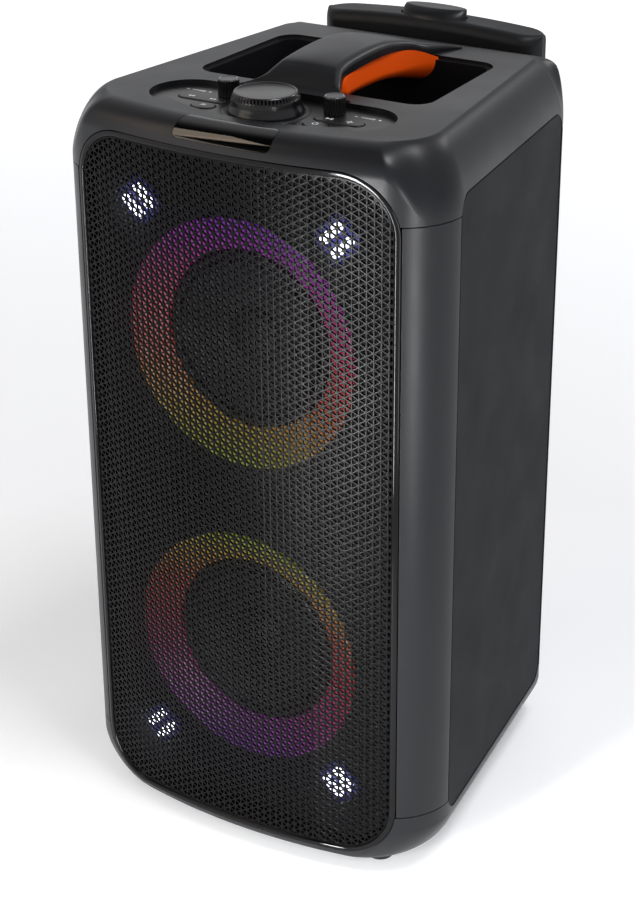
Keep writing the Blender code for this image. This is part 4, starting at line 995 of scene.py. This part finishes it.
# Knob ABS: semi-gloss, with the faint circles that a lathe left in the mould.
ABS_KNOB = grain(surface("moulded ABS, semi-gloss", "#101012", IOR=1.53, Specular_IOR_Level=0.42), 0.6 * MM,
                 0.012 * MM, (0.2, 0.28), 0.08)
knob_profile = [
    (0, 562.8, 0), (8, 562.9, 0), (15, 563.3, 0), (18.5, 563.9, 0), (19.6, 564.4, 0), (20.3, 564.85, 0),
    (20.8, 565.0, 0), (21.3, 564.8, 0), (21.7, 564.3, 0), (22.1, 563.6, 1.4), (22.6, 562.3, 1.7),
    (22.9, 561.4, 1.3), (23.1, 560.9, 0), (23.4, 560.0, 0), (23.5, 557.8, 0), (23.9, 556.2, 0), (24.8, 554.5, 0),
    (25.6, 553.1, 0), (26.0, 552.0, 0), (26.0, 551.0, 0), (25.6, 550.6, 0), (4.2, 550.6, 0), (4.2, 536.2, 0),
    (0, 536.2, 0)]
knob = fluted("volume_dial", [(r * MM, z * MM, d * MM) for r, z, d in knob_profile], 56, ABS_KNOB, VOLUME_AT)
fit(soften(knob, 0, sharp=40), "volume", "abs_gloss", "volume_knob")

collar = turned("volume_collar", [(r * MM, z * MM) for r, z in (
    (26.4, 550.7), (26.8, 551.1), (29.2, 551.1), (30.2, 550.6), (30.4, 550.05), (26.4, 550.05))],
    ABS_SATIN, steps=120, ring=True, at=(*VOLUME_AT, 0))
fit(soften(collar, 0, sharp=50), "cabinet", "abs_satin")


# ---------------------------------------------------------------- tone knobs
# Two small push-fit knobs for bass and treble, in black ABS: fluted sides and a polished edge round a dish. The
# edge is coloured light grey, a painted highlight for the light it reflects.

# The polished edge's light grey colour is a painted highlight, not the colour of the black ABS.
RIM_PAINTED_HIGHLIGHT = grain(surface("moulded ABS, polished edge, light grey as painted highlight", "#3c3d40", IOR=1.55), 2 * MM, 0.005 * MM, (0.1, 0.16))
DISH = grain(surface("moulded ABS, satin dish", "#1d1e20", IOR=1.53), 0.5 * MM, 0.01 * MM, (0.3, 0.38), 0.1)
for way, name in ((-1, "bass"), (1, "treble")):
    at = (way * TONE_AT[0], TONE_AT[1])
    body_profile = [
        (0, 562.2, 0), (5.6, 562.3, 0), (6.6, 562.4, 0), (7.3, 562.0, 0), (7.45, 561.0, 0.5), (7.5, 559.0, 0.65),
        (7.5, 552.4, 0.65), (7.5, 551.4, 0), (7.4, 550.6, 0), (2.4, 550.6, 0), (2.4, 536.2, 0), (0, 536.2, 0)]
    body = fluted(f"{name}_dial", [(r * MM, z * MM, d * MM) for r, z, d in body_profile], 22, ABS_KNOB, at)
    fit(soften(body, 0, sharp=50), name, "abs_gloss", f"{name}_knob")
    bevel = turned(f"{name}_bevel", [(r * MM, z * MM) for r, z in (
        (7.1, 562.1), (7.05, 562.5), (6.6, 562.9), (6.0, 562.98), (5.5, 562.75), (5.5, 562.2))],
        RIM_PAINTED_HIGHLIGHT, steps=72, ring=True, at=(*at, 0))
    fit(soften(bevel, 0, sharp=60), name, "abs_gloss")
    dish = turned(f"{name}_cap", [(r * MM, z * MM) for r, z in (
        (0, 562.45), (3, 562.48), (5.0, 562.6), (5.45, 562.7), (5.45, 562.2), (0, 562.2))],
        DISH, steps=72, at=(*at, 0))
    fit(soften(dish, 0, sharp=50), name, "abs_gloss")


# ---------------------------------------------------------------- keys on the deck
# Two long rocking keys and two oval keys in soft-feel ABS, each standing just proud of the deck with a fine
# gap round it. Simple signs are printed on them in pale ink.

ABS_KEY = grain(surface("moulded ABS, key cap", "#131416", IOR=1.5, Specular_IOR_Level=0.4), 0.6 * MM,
                0.02 * MM, (0.32, 0.4), 0.1)
INK = grain(surface("pad-printed ink, pale grey", "#e4e6ea", Roughness=0.6), 0.3 * MM, 0.004 * MM,
            (0.5, 0.65), 0.05)


def key(name, outline, crown, at):
    """A key with a rolled edge and a slightly domed top. 'crown' is its centre height over the edge."""
    rings = []
    for scale, z in ((1.0, 543.2), (1.0, 550.4), (0.985, 550.75), (0.95, 551.0), (0.88, 551.1),
                     (0.6, 551.1 + crown), (0.25, 551.12 + crown)):
        rings.append([(at[0] + x * scale, at[1] + y * (1 - (1 - scale) * 1.6 if scale > 0.9 else scale), z * MM)
                      for x, y in outline])
    return loft(name, rings, ABS_KEY)


def ink(name, polygons, at, z, body):
    """Flat printed shapes, each a closed outline or a pair of outlines that bound a ring."""
    bm = bmesh.new()
    for shape in polygons:
        loops = shape if isinstance(shape[0][0], (tuple, list)) else [shape]
        flat = [[Vector((at[0] + x * MM, at[1] + y * MM, 0)) for x, y in loop] for loop in loops]
        every = [p for loop in flat for p in loop]
        tops = [bm.verts.new((p.x, p.y, z)) for p in every]
        roots = [bm.verts.new((p.x, p.y, z - 0.12 * MM)) for p in every]
        for face in tessellate_polygon(flat):
            bm.faces.new([tops[v] for v in face])
            bm.faces.new([roots[v] for v in reversed(face)])
        first = 0
        for loop in flat:
            for i in range(len(loop)):
                a, b = first + i, first + (i + 1) % len(loop)
                bm.faces.new((roots[a], roots[b], tops[b], tops[a]))
            first += len(loop)
    fit(to_piece(name, bm, INK), body, "abs_gloss")


def bar(cx, cy, w, h):
    w, h = w / 2, h / 2
    return [(cx - w, cy - h), (cx + w, cy - h), (cx + w, cy + h), (cx - w, cy + h)]


def arc_band(r_out, r_in, start, end, cx=0.0, cy=0.0, steps=28):
    """A curved stroke between two angles in degrees."""
    angles = [radians(start + (end - start) * k / steps) for k in range(steps + 1)]
    outer = [(cx + r_out * cos(a), cy + r_out * sin(a)) for a in angles]
    inner = [(cx + r_in * cos(a), cy + r_in * sin(a)) for a in reversed(angles)]
    return outer + inner


def triangle(cx, cy, r, way=1):
    """An arrowhead that points along x."""
    return [(cx + way * r, cy), (cx - way * r * 0.6, cy + r * 0.9), (cx - way * r * 0.6, cy - r * 0.9)]


KEY_TOP_Z = 551.36 * MM
for way, word in ((-1, "left"), (1, "right")):
    at = (way * ROCKER_AT[0], ROCKER_AT[1])
    rocker = key(f"long_key_{word}", pill(0, 0, 18.5 * MM, 5 * MM), 0.15 * MM, at)
    fit(soften(rocker, 0, sharp=40), f"rocker_{word}", "abs_gloss", f"rocker_{word}")
    at = (way * OVAL_AT[0], OVAL_AT[1])
    name, node, body = (("mode_cap", "mode_button", "mode"), ("power_cap", "power_button", "power"))[way > 0]
    oval = key(name, ellipse(0, 0, 9 * MM, 6.5 * MM), 0.15 * MM, at)
    fit(soften(oval, 0, sharp=40), body, "abs_gloss", node)

ink("sign_back", [triangle(-2.0, 0, 1.5, -1), triangle(0.6, 0, 1.5, -1)],
    (-ROCKER_AT[0] - 8 * MM, ROCKER_AT[1]), KEY_TOP_Z, "rocker_left")
ink("sign_on", [triangle(-0.6, 0, 1.5), triangle(2.0, 0, 1.5)],
    (-ROCKER_AT[0] + 8 * MM, ROCKER_AT[1]), KEY_TOP_Z, "rocker_left")
ink("sign_play", [triangle(-0.8, 0, 1.7), bar(1.6, 0, 0.6, 2.9), bar(2.7, 0, 0.6, 2.9)],
    (ROCKER_AT[0] - 8 * MM, ROCKER_AT[1]), KEY_TOP_Z, "rocker_right")
ink("sign_lamp", [(arc_band(1.3, 0.75, 0, 360))] + [bar(2.2 * cos(k * pi / 2), 2.2 * sin(k * pi / 2), 0.7, 0.7)
                                                     for k in range(4)],
    (ROCKER_AT[0] + 8 * MM, ROCKER_AT[1]), KEY_TOP_Z, "rocker_right")
ink("sign_mode", [bar(0, 1.3, 3.6, 0.5), bar(0, 0, 3.6, 0.5), bar(0, -1.3, 3.6, 0.5)],
    (-OVAL_AT[0], OVAL_AT[1]), KEY_TOP_Z, "mode")
ink("sign_power", [arc_band(2.2, 1.65, 125, 415), bar(0, 1.5, 0.55, 2.4)],
    (OVAL_AT[0], OVAL_AT[1]), KEY_TOP_Z, "power")
for way, word in ((-1, "bass"), (1, "treble")):
    at = (way * 67 * MM, -76 * MM)
    ink(f"{word}_scale", [bar(-9, 0, 2.2, 0.6)] + [bar(-4.5 + 1.8 * k, 0, 0.7, 1.0 + 0.35 * k) for k in range(6)]
        + [bar(9, 0, 2.2, 0.6), bar(9, 0.8, 0.6, 0.9), bar(9, -0.8, 0.6, 0.9)], at, DECK_Z + 0.45 * MM, "cabinet")


# ---------------------------------------------------------------- handle well
# A deep tub in textured ABS under the carry handle, dropped in from below, with a narrow lip inside the
# mouth.

WELL_FLOOR_Z = 500 * MM
tub_rings = [[(x, y, z) for x, y in well_outline(grow)] for grow, z in (
    (2 * MM, WELL_FLOOR_Z - 2 * MM), (2 * MM, SLAB_LOW_Z - GAP), (-0.25 * MM, SLAB_LOW_Z - GAP),
    (-0.25 * MM, 551.2 * MM), (-0.7 * MM, 551.6 * MM), (-1.5 * MM, 551.6 * MM), (-1.8 * MM, 551.2 * MM))]
for k in range(9):
    a = pi / 2 * k / 8
    tub_rings.append([(x, y, WELL_FLOOR_Z + 6 * MM * (1 - sin(a)))
                      for x, y in well_outline(-2.4 * MM - 6 * MM * (1 - cos(a)))])
tub = loft("well_tub", tub_rings, ABS_TEXTURED)
fit(soften(tub, 0, sharp=50), "cabinet", "abs_textured", "handle_well")


# ---------------------------------------------------------------- carry handle
# A broad strap in satin ABS that rises from behind the deck, runs over the well and spreads into the rear
# rim. An orange soft-touch grip is moulded under it.

def along_stations(stations, steps):
    """Smoothly spaced sections between the given ones, by a cubic through each value."""
    out = []
    last = len(stations) - 1
    for i in range(last):
        before, a, b, after = (stations[min(max(k, 0), last)] for k in range(i - 1, i + 3))
        for k in range(steps):
            t = k / steps
            values = []
            for p0, p1, p2, p3 in zip(before, a, b, after):
                low_slope = (p2 - p0) / 2 if (p1 - p0) * (p2 - p1) > 0 else 0
                high_slope = (p3 - p1) / 2 if (p2 - p1) * (p3 - p2) > 0 else 0
                values.append((2 * t ** 3 - 3 * t ** 2 + 1) * p1 + (t ** 3 - 2 * t ** 2 + t) * low_slope
                              + (3 * t ** 2 - 2 * t ** 3) * p2 + (t ** 3 - t ** 2) * high_slope)
            out.append(tuple(values))
    out.append(stations[-1])
    return out


QUARTER = [pi / 2 * k / 12 for k in range(13)]


def strap_section(y, half, low, high):
    """One cross-section: flat below, crowned above, with round shoulders."""
    soft = min(7.0, (high - low) * 0.9)
    right = [(half, low)]
    right += [(half - soft * (1 - cos(a)), high - soft * 0.7 * (1 - sin(a))) for a in QUARTER]
    crest = [(half - soft) * (1 - k / 6) for k in range(1, 6)]
    right += [(u, high + soft * 0.12 * (1 - (u / (half - soft)) ** 2)) for u in crest]
    points = right + [(0, high + soft * 0.12)] + [(-u, w) for u, w in reversed(right)]
    return [(u * MM, y * MM, w * MM) for u, w in points]


strap_stations = [
    (-61.5, 45, 554.3, 555.2), (-57, 38, 554.3, 557.5), (-51, 31.5, 554.3, 562), (-43, 27, 554.3, 567.5),
    (-36, 25, 561.5, 570.5), (-20, 24, 563, 572.6), (5, 24, 564, 573.6), (28, 24, 563.6, 572.6),
    (46, 25, 562, 569.5), (60, 28, 559.5, 566), (72, 32, 554.3, 562), (86, 38, 554.3, 558.5),
    (98, 46, 554.3, 555.2)]
strap = loft("handle_strap", [strap_section(*s) for s in along_stations(strap_stations, 6)], ABS_SATIN)
fit(soften(strap, 0, sharp=55), "cabinet", "abs_satin", "handle_cover")


def grip_section(y, half, low, high, soft):
    """One cross-section of the grip: flat above, with round lower edges."""
    right = [(half, high)]
    right += [(half - soft * (1 - cos(a)), low + soft * (1 - sin(a))) for a in QUARTER]
    right += [((half - soft) * (1 - k / 4), low) for k in range(1, 4)]
    points = right + [(-u, w) for u, w in reversed(right)]
    return [(u * MM, y * MM, w * MM) for u, w in points]


# Soft-touch rubber: a velvety matt skin. Its pores are really 0.1 mm; drawn at 0.5 mm.
TPU_ORANGE = grain(surface("soft-touch rubber, orange", "#ff5a04", IOR=1.45, Specular_IOR_Level=0.3), 0.5 * MM,
                   0.02 * MM, (0.42, 0.55), 0.06)
grip_stations = [
    (-41.7, 31, 546, 553.4, 6.5), (-36, 26.5, 545, 561.1, 6.5), (-20, 23.5, 545, 562.6, 6.5),
    (5, 22.5, 544.5, 563.6, 6.5), (28, 22.8, 543.5, 563.2, 6.5), (46, 25, 541, 561.6, 8), (60, 31, 538, 559, 12),
    (70.7, 41, 536, 553.4, 15)]
grip = loft("handle_soft_grip", [grip_section(*s) for s in along_stations(grip_stations, 6)], TPU_ORANGE)
fit(soften(grip, 0, sharp=55), "cabinet", "grip_orange", "handle_grip")


# ---------------------------------------------------------------- trolley
# A wide rubber-skinned bar on two anodised tubes that slide in fixed sleeves behind the back panel. The
# oval key in its middle frees the locking pins.

TROLLEY_Y = 140.5 * MM
SKIN = grain(surface("thermoplastic rubber, charcoal", "#17181a", IOR=1.48, Specular_IOR_Level=0.2), 0.9 * MM,
             0.03 * MM, (0.42, 0.52), 0.12)


def trolley_section(x):
    """One cross-section of the grip, which is crowned in the middle and rounded at its ends."""
    deep = sqrt(max(17 ** 2 - max(abs(x) - 74, 0) ** 2, 3 ** 2))
    top = 560 + 4.5 * (1 - (x / 91) ** 2)
    soft, foot = min(8, deep * 0.9), min(1.2, deep * 0.3)
    front = [(deep - foot, 539), (deep - 0.3 * foot, 539 + 0.3 * foot), (deep, 539 + foot)]
    front += [(deep - soft * (1 - cos(a)), top - soft * (1 - sin(a))) for a in QUARTER]
    points = front + [(-y, z) for y, z in reversed(front)]
    return [(x * MM, TROLLEY_Y + y * MM, z * MM) for y, z in points]


end_stations = [74 + 17 * sin(a) for a in QUARTER[1:]]
stations = [-x for x in reversed(end_stations)] + [74 * k / 16 for k in range(-16, 17)] + end_stations
bar_piece = loft("trolley_bar", [trolley_section(x) for x in stations], SKIN)
carve(bar_piece, prism("button_pocket", ellipse(0, TROLLEY_Y, 27.4 * MM, 13.7 * MM, 72), 548 * MM, 580 * MM))
fit(soften(bar_piece, 0.6 * MM, angle=50), "trolley", "rubber_black", "trolley_grip")

release_rings = [[(x, y, z * MM) for x, y in ellipse(0, TROLLEY_Y + back * MM, rx * MM, ry * MM, 72)]
                 for rx, ry, back, z in ((26.6, 12.9, 0, 554), (26.6, 12.9, 0, 562.3), (26.5, 12.4, 0.4, 564.2),
                                         (26.2, 11.4, 1, 566.2), (25.9, 10.0, 2, 568.0), (25.5, 8.4, 3, 569.3),
                                         (25.1, 7.6, 3.3, 569.8), (24.2, 6.8, 3.4, 570), (12, 3.2, 3.4, 569.9))]
release = loft("release_key", release_rings, ABS_SATIN)
fit(soften(release, 0, sharp=40), "trolley_release", "abs_satin", "trolley_button")

# Anodised aluminium: drawn tube with fine lengthwise lines under a clear oxide.
ANODISED = surface("anodised aluminium, drawn tube", "#a9acb1", Metallic=1.0)
tree = ANODISED.node_tree
where = add(tree, "ShaderNodeTexCoord").outputs["Object"]
drawn = add(tree, "ShaderNodeMapping", inputs={"Vector": where, "Scale": (1500.0, 1500.0, 6.0)})
lines = add(tree, "ShaderNodeTexNoise", inputs={"Vector": drawn.outputs[0], "Scale": 1.0, "Detail": 2.0})
dull = add(tree, "ShaderNodeMapRange", inputs={"Value": lines.outputs[0], "To Min": 0.24, "To Max": 0.42})
relief = add(tree, "ShaderNodeBump", inputs={"Height": lines.outputs[0], "Distance": 0.01 * MM})
tree.links.new(dull.outputs[0], tree.nodes["Principled BSDF"].inputs["Roughness"])
tree.links.new(relief.outputs[0], tree.nodes["Principled BSDF"].inputs["Normal"])


def tube_shape(name, x, half_x, half_y, low, high, mat=None, r=3 * MM):
    corners = bar(x, TROLLEY_Y, 2 * half_x, 2 * half_y)
    return prism(name, rounded(corners, r, 6), low, high, mat)


for way, word in ((-1, "left"), (1, "right")):
    x = way * 50 * MM
    tube = tube_shape(f"pull_tube_{word}", x, 10 * MM, 7 * MM, 84 * MM, 538.7 * MM, ANODISED)
    carve(tube, tube_shape("bore", x, 8.8 * MM, 5.8 * MM, 70 * MM, 550 * MM, r=2 * MM))
    fit(soften(tube, 0.2 * MM), "trolley", "aluminium_anodised", f"trolley_tube_{word}")
    sleeve = tube_shape(f"guide_sleeve_{word}", x, 12 * MM, 9 * MM, 80 * MM, 532.5 * MM, ANODISED)
    carve(sleeve, tube_shape("bore", x, 10.5 * MM, 7.5 * MM, 70 * MM, 540 * MM))
    fit(soften(sleeve, 0.2 * MM), "cabinet", "aluminium_anodised", f"trolley_sleeve_{word}")

HOUSING_REAR_Y, HOUSING_HALF = 154 * MM, 86 * MM


def spine_ring(inset, y):
    return [(x, y, z) for x, z in rounded_box(HOUSING_HALF - inset, 12 * MM + inset, 536 * MM - inset, 6 * MM, 8)]


spine_levels = [(0, 120.3 * MM), (0, HOUSING_REAR_Y - 9 * MM)]
spine_levels += [(9 * MM * (1 - cos(pi / 2 * k / 10)), HOUSING_REAR_Y - 9 * MM * (1 - sin(pi / 2 * k / 10)))
                 for k in range(1, 11)]
housing = loft("rear_spine", [spine_ring(inset, y) for inset, y in spine_levels], ABS_TEXTURED)
housing_tools = [block("hollow", (-83 * MM, 110 * MM, 15 * MM), (83 * MM, 151 * MM, 533 * MM)), arch("arch", -1),
                 arch("arch", 1), port_hole(),
                 block("window", (-29.8 * MM, 145 * MM, 250 * MM), (29.8 * MM, 160 * MM, 400 * MM))]
housing_tools += [tube_shape("slot", way * 50 * MM, 10.3 * MM, 7.3 * MM, 525 * MM, 545 * MM) for way in (-1, 1)]
carve(housing, *housing_tools)
fit(soften(housing, 0.4 * MM), "cabinet", "abs_textured", "trolley_housing")
for k, (x, z) in enumerate(((-70, 120), (70, 120), (-70, 300), (70, 300), (-70, 500), (70, 500))):
    screw_head(f"spine_screw_{k + 1}", (x * MM, HOUSING_REAR_Y + 0.05 * MM, z * MM))


# ---------------------------------------------------------------- wheels
# Two small solid wheels on one bright steel axle, each in its own well: grooved rubber tyres on pierced ABS
# hubs. They touch the floor only when the speaker is tipped back.

WHEEL_Y, WHEEL_Z, WHEEL_R = 124.5 * MM, 35 * MM, 32 * MM
SIDEWAYS = (0, pi / 2, 0)
TREAD = grain(surface("solid rubber tyre", "#151516"), 0.9 * MM, 0.05 * MM, (0.6, 0.75), 0.15)
for way, word in ((-1, "left"), (1, "right")):
    at = (way * 75 * MM, WHEEL_Y, WHEEL_Z)
    crown = [(31.2, 8.6), (31.85, 7.2), (32.0, 6.0), (32.0, 3.3), (31.3, 2.9), (31.3, 2.1), (32.0, 1.7)]
    tread = [(29.6, 10.0), (30.6, 9.5)] + crown
    tyre_profile = tread + [(r, -z) for r, z in reversed(tread)] + [(24.3, -10.0), (24.3, 10.0)]
    tyre = turned(f"tyre_{word}", [(r * MM, z * MM) for r, z in tyre_profile], TREAD, steps=96, ring=True, at=at,
                  turn=SIDEWAYS)
    fit(soften(tyre, 0, sharp=40), f"wheel_{word}", "wheel_rubber", f"wheel_tyre_{word}")
    hub_profile = [(9, 10.9), (9, 6.2), (10, 6.0), (21.4, 6.0), (22, 6.6), (22.6, 9.8), (24.0, 10.0), (24.2, 9.6)]
    hub_points = hub_profile + [(r, -z) for r, z in reversed(hub_profile)] + [(3.4, -10.9), (3.4, 10.9)]
    hub = turned(f"hub_{word}", [(r * MM, z * MM) for r, z in hub_points], ABS_TEXTURED, steps=72, ring=True, at=at,
                 turn=SIDEWAYS)
    holes = []
    for a in [2 * pi * k / 6 for k in range(6)]:
        holes.append(turned("hub_hole", [(0, 20 * MM), (3.6 * MM, 20 * MM), (3.6 * MM, -20 * MM), (0, -20 * MM)],
                            steps=28, at=(at[0], at[1] + 15.5 * MM * cos(a), at[2] + 15.5 * MM * sin(a)),
                            turn=SIDEWAYS))
    carve(hub, *holes)
    fit(soften(hub, 0.3 * MM), f"wheel_{word}", "abs_textured", f"wheel_hub_{word}")
    x = at[0]
    cheeks = block(f"wheel_well_{word}", (x - 14.6 * MM, 83.8 * MM, 14 * MM), (x + 14.6 * MM, 138 * MM, 76.7 * MM),
                   ABS_TEXTURED)
    carve(cheeks, block("space", (x - 12.2 * MM, 85.4 * MM, 5 * MM), (x + 12.2 * MM, 150 * MM, 74.2 * MM)),
          turned("axle_hole", [(0, 20 * MM), (3.5 * MM, 20 * MM), (3.5 * MM, -20 * MM), (0, -20 * MM)], steps=32,
                 at=at, turn=SIDEWAYS))
    fit(soften(cheeks, 0.3 * MM), "cabinet", "abs_textured", f"wheel_box_{word}")

BRIGHT_STEEL = grain(surface("bright drawn steel", "#b4b6ba", Metallic=1.0), 0.8 * MM, 0.004 * MM,
                     (0.2, 0.32), 0.05)
axle = turned("axle_rod", [(0, 89 * MM), (2.4 * MM, 89 * MM), (3 * MM, 88.4 * MM), (3 * MM, -88.4 * MM),
                           (2.4 * MM, -89 * MM), (0, -89 * MM)], BRIGHT_STEEL, steps=48, at=(0, WHEEL_Y, WHEEL_Z),
              turn=SIDEWAYS)
fit(soften(axle, 0, sharp=30), "cabinet", "steel_bright", "wheel_axle")


# ---------------------------------------------------------------- feet
# Four turned rubber feet under the base, each with a shallow ring where it meets the floor.

for row, x, y in (("front", 103 * MM, -117 * MM), ("rear", 84 * MM, 66 * MM)):
    for way, word in ((-1, "left"), (1, "right")):
        foot = turned(f"rubber_foot_{row}_{word}", [(r * MM, z * MM) for r, z in (
            (0, 7.2), (11, 7.2), (10.9, 6.2), (10.2, 1.2), (9.8, 0.4), (9.2, 0), (6.4, 0), (6.0, 0.5), (0, 0.5))],
            NITRILE, steps=64, at=(way * x, y, 0))
        fit(soften(foot, 0, sharp=40), "cabinet", "rubber_black", f"foot_{row}_{word}")


# ---------------------------------------------------------------- bass port
# A flared tube in textured ABS that opens through the rear spine.

lip = [(30 * MM + 4 * MM * cos(a), 0.3 * MM + 1.2 * MM * sin(a)) for a in [pi / 2 * k / 8 for k in range(9)]]
throat = [(30 * MM - 4 * MM * sin(a), 1.5 * MM - 6 * MM * (1 - cos(a))) for a in QUARTER[1:]]
port_profile = lip + throat + [(26 * MM, -95 * MM), (28 * MM, -95 * MM), (28 * MM, 0.3 * MM)]
port = turned("port_tube", port_profile, ABS_TEXTURED, ring=True, at=(0, HOUSING_REAR_Y, PORT_Z), turn=REARWARD)
fit(soften(port, 0, sharp=60), "cabinet", "abs_textured", "bass_port")


# ---------------------------------------------------------------- sockets
# A gloss plate over the jack block, with two large jacks, a small one, a charging socket and a two-pin
# mains inlet. Nickel bushes line the jacks. Plain signs are printed beside them.

plate = block("socket_plate", (-29.5 * MM, 151.3 * MM, 250.3 * MM), (29.5 * MM, 153.6 * MM, 399.7 * MM),
              ABS_GLOSS)
jack_block = block("jack_holder", (-25 * MM, 131 * MM, 338 * MM), (25 * MM, 151 * MM, 392 * MM), ABS_TEXTURED)
NICKEL = grain(surface("nickel-plated brass", "#b7b4ac", Metallic=1.0), 0.6 * MM, 0.004 * MM, (0.16, 0.26), 0.04)
JACKS = ((-14, 380, 3.3), (14, 380, 3.3), (-14, 352, 1.8))
for piece, deep in ((plate, 6 * MM), (jack_block, 17 * MM)):
    holes = [turned("jack_hole", [(0, 5 * MM), (r * MM, 5 * MM), (r * MM, -deep), (0, -deep)], steps=40,
                    at=(x * MM, 151 * MM, z * MM), turn=REARWARD) for x, z, r in JACKS]
    holes.append(block("usb", (7.5 * MM, 151 * MM - deep, 349.4 * MM), (20.5 * MM, 160 * MM, 354.8 * MM)))
    carve(piece, *holes)
INLET_Z = 285 * MM
carve(plate, prism("inlet", pill(0, INLET_Z, 11 * MM, 6 * MM), 145 * MM, 160 * MM, along='Y'))
fit(soften(plate, 0.35 * MM), "cabinet", "abs_gloss", "socket_panel")
fit(soften(jack_block, 0.3 * MM), "cabinet", "abs_textured", "jack_block")
for k, (x, z, r) in enumerate(JACKS):
    bush = turned(f"jack_bush_{k + 1}", [((r + d) * MM, h * MM) for d, h in (
        (1.7, 2.65), (1.7, 3.4), (1.3, 3.8), (0.5, 3.8), (0.1, 3.4), (0.1, 2.65))], NICKEL, steps=48, ring=True,
        at=(x * MM, 151 * MM, z * MM), turn=REARWARD)
    fit(soften(bush, 0, sharp=50), "cabinet", "steel_bright")
inlet = block("mains_socket", (-14 * MM, 133 * MM, INLET_Z - 9 * MM), (14 * MM, 151 * MM, INLET_Z + 9 * MM),
              ABS_TEXTURED)
carve(inlet, prism("pocket", pill(0, INLET_Z, 11 * MM, 6 * MM), 136 * MM, 160 * MM, along='Y'))
fit(soften(inlet, 0.3 * MM), "cabinet", "abs_textured", "mains_inlet")
for way, word in ((-1, "left"), (1, "right")):
    pin = turned(f"mains_pin_{word}", [(0, 6 * MM), (0.8 * MM, 6 * MM), (1.2 * MM, 5.3 * MM), (1.2 * MM, -1 * MM),
                                       (0, -1 * MM)], NICKEL, steps=28, at=(way * 4.3 * MM, 136 * MM, INLET_Z),
                 turn=REARWARD)
    fit(soften(pin, 0, sharp=40), "cabinet", "steel_bright")


def rear_ink(name, polygons, x, z):
    """A printed sign on the socket plate, read from behind."""
    bm = bmesh.new()
    for shape in polygons:
        outer = [bm.verts.new((x - u * MM, 153.66 * MM, z + w * MM)) for u, w in shape]
        inner = [bm.verts.new((x - u * MM, 153.55 * MM, z + w * MM)) for u, w in shape]
        flat = [[Vector((u, w, 0)) for u, w in shape]]
        for face in tessellate_polygon(flat):
            bm.faces.new([outer[v] for v in face])
            bm.faces.new([inner[v] for v in reversed(face)])
        for i in range(len(shape)):
            j = (i + 1) % len(shape)
            bm.faces.new((inner[i], inner[j], outer[j], outer[i]))
    fit(to_piece(name, bm, INK), "cabinet", "abs_gloss")


rear_ink("sign_voice", [pill(0, 1.5, 1.2, 1.19, 8), arc_band(2.4, 1.9, 180, 360, 0, 1.2), bar(0, -2.2, 0.5, 1.8)],
         -14 * MM, 370 * MM)
rear_ink("sign_strings", [pill(0, -0.8, 2.0, 1.6, 8), bar(0, 2.4, 0.7, 3.6)], 14 * MM, 370 * MM)
rear_ink("sign_mains", [arc_band(1.6, 1.1, 0, 180, -1.35, 0), arc_band(1.6, 1.1, 180, 360, 1.35, 0)], 0, 300 * MM)
rear_ink("sign_line", [triangle(1.6, 0, 1.3), bar(-1.2, 0, 3.4, 0.5)], -14 * MM, 343 * MM)
rear_ink("sign_charge", [bar(-1.2, 0, 0.5, 2.6), bar(0, 0, 0.5, 3.6), bar(1.2, 0, 0.5, 2.6)], 14 * MM, 343 * MM)


# ---------------------------------------------------------------- inside
# Driver baskets in black steel, ferrite magnets, the circuit boards and the battery pack. They are closed
# in, and take a finish that suits each.

SOLDER_MASK = grain(surface("glass-fibre board, green solder mask", "#124a2c"), 1.2 * MM, 0.03 * MM,
                    (0.25, 0.4), 0.2)
FERRITE = grain(surface("sintered ferrite", "#2f2f33"), 1.0 * MM, 0.05 * MM, (0.5, 0.7), 0.2)
WRAP = grain(surface("PVC shrink wrap, blue", "#1f4f8f"), 3 * MM, 0.05 * MM, (0.2, 0.35), 0.06)
inside = ((COAT_BLACK, "woofer_basket_lower", "woofer_basket_upper"),
          (FERRITE, "woofer_magnet_lower", "woofer_magnet_upper"),
          (SOLDER_MASK, "control_board", "amplifier_board"),
          (WRAP, "battery_pack"))
for mat, *nodes in inside:
    for node in nodes:
        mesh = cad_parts[node].data
        mesh.materials.clear()
        mesh.materials.append(mat)
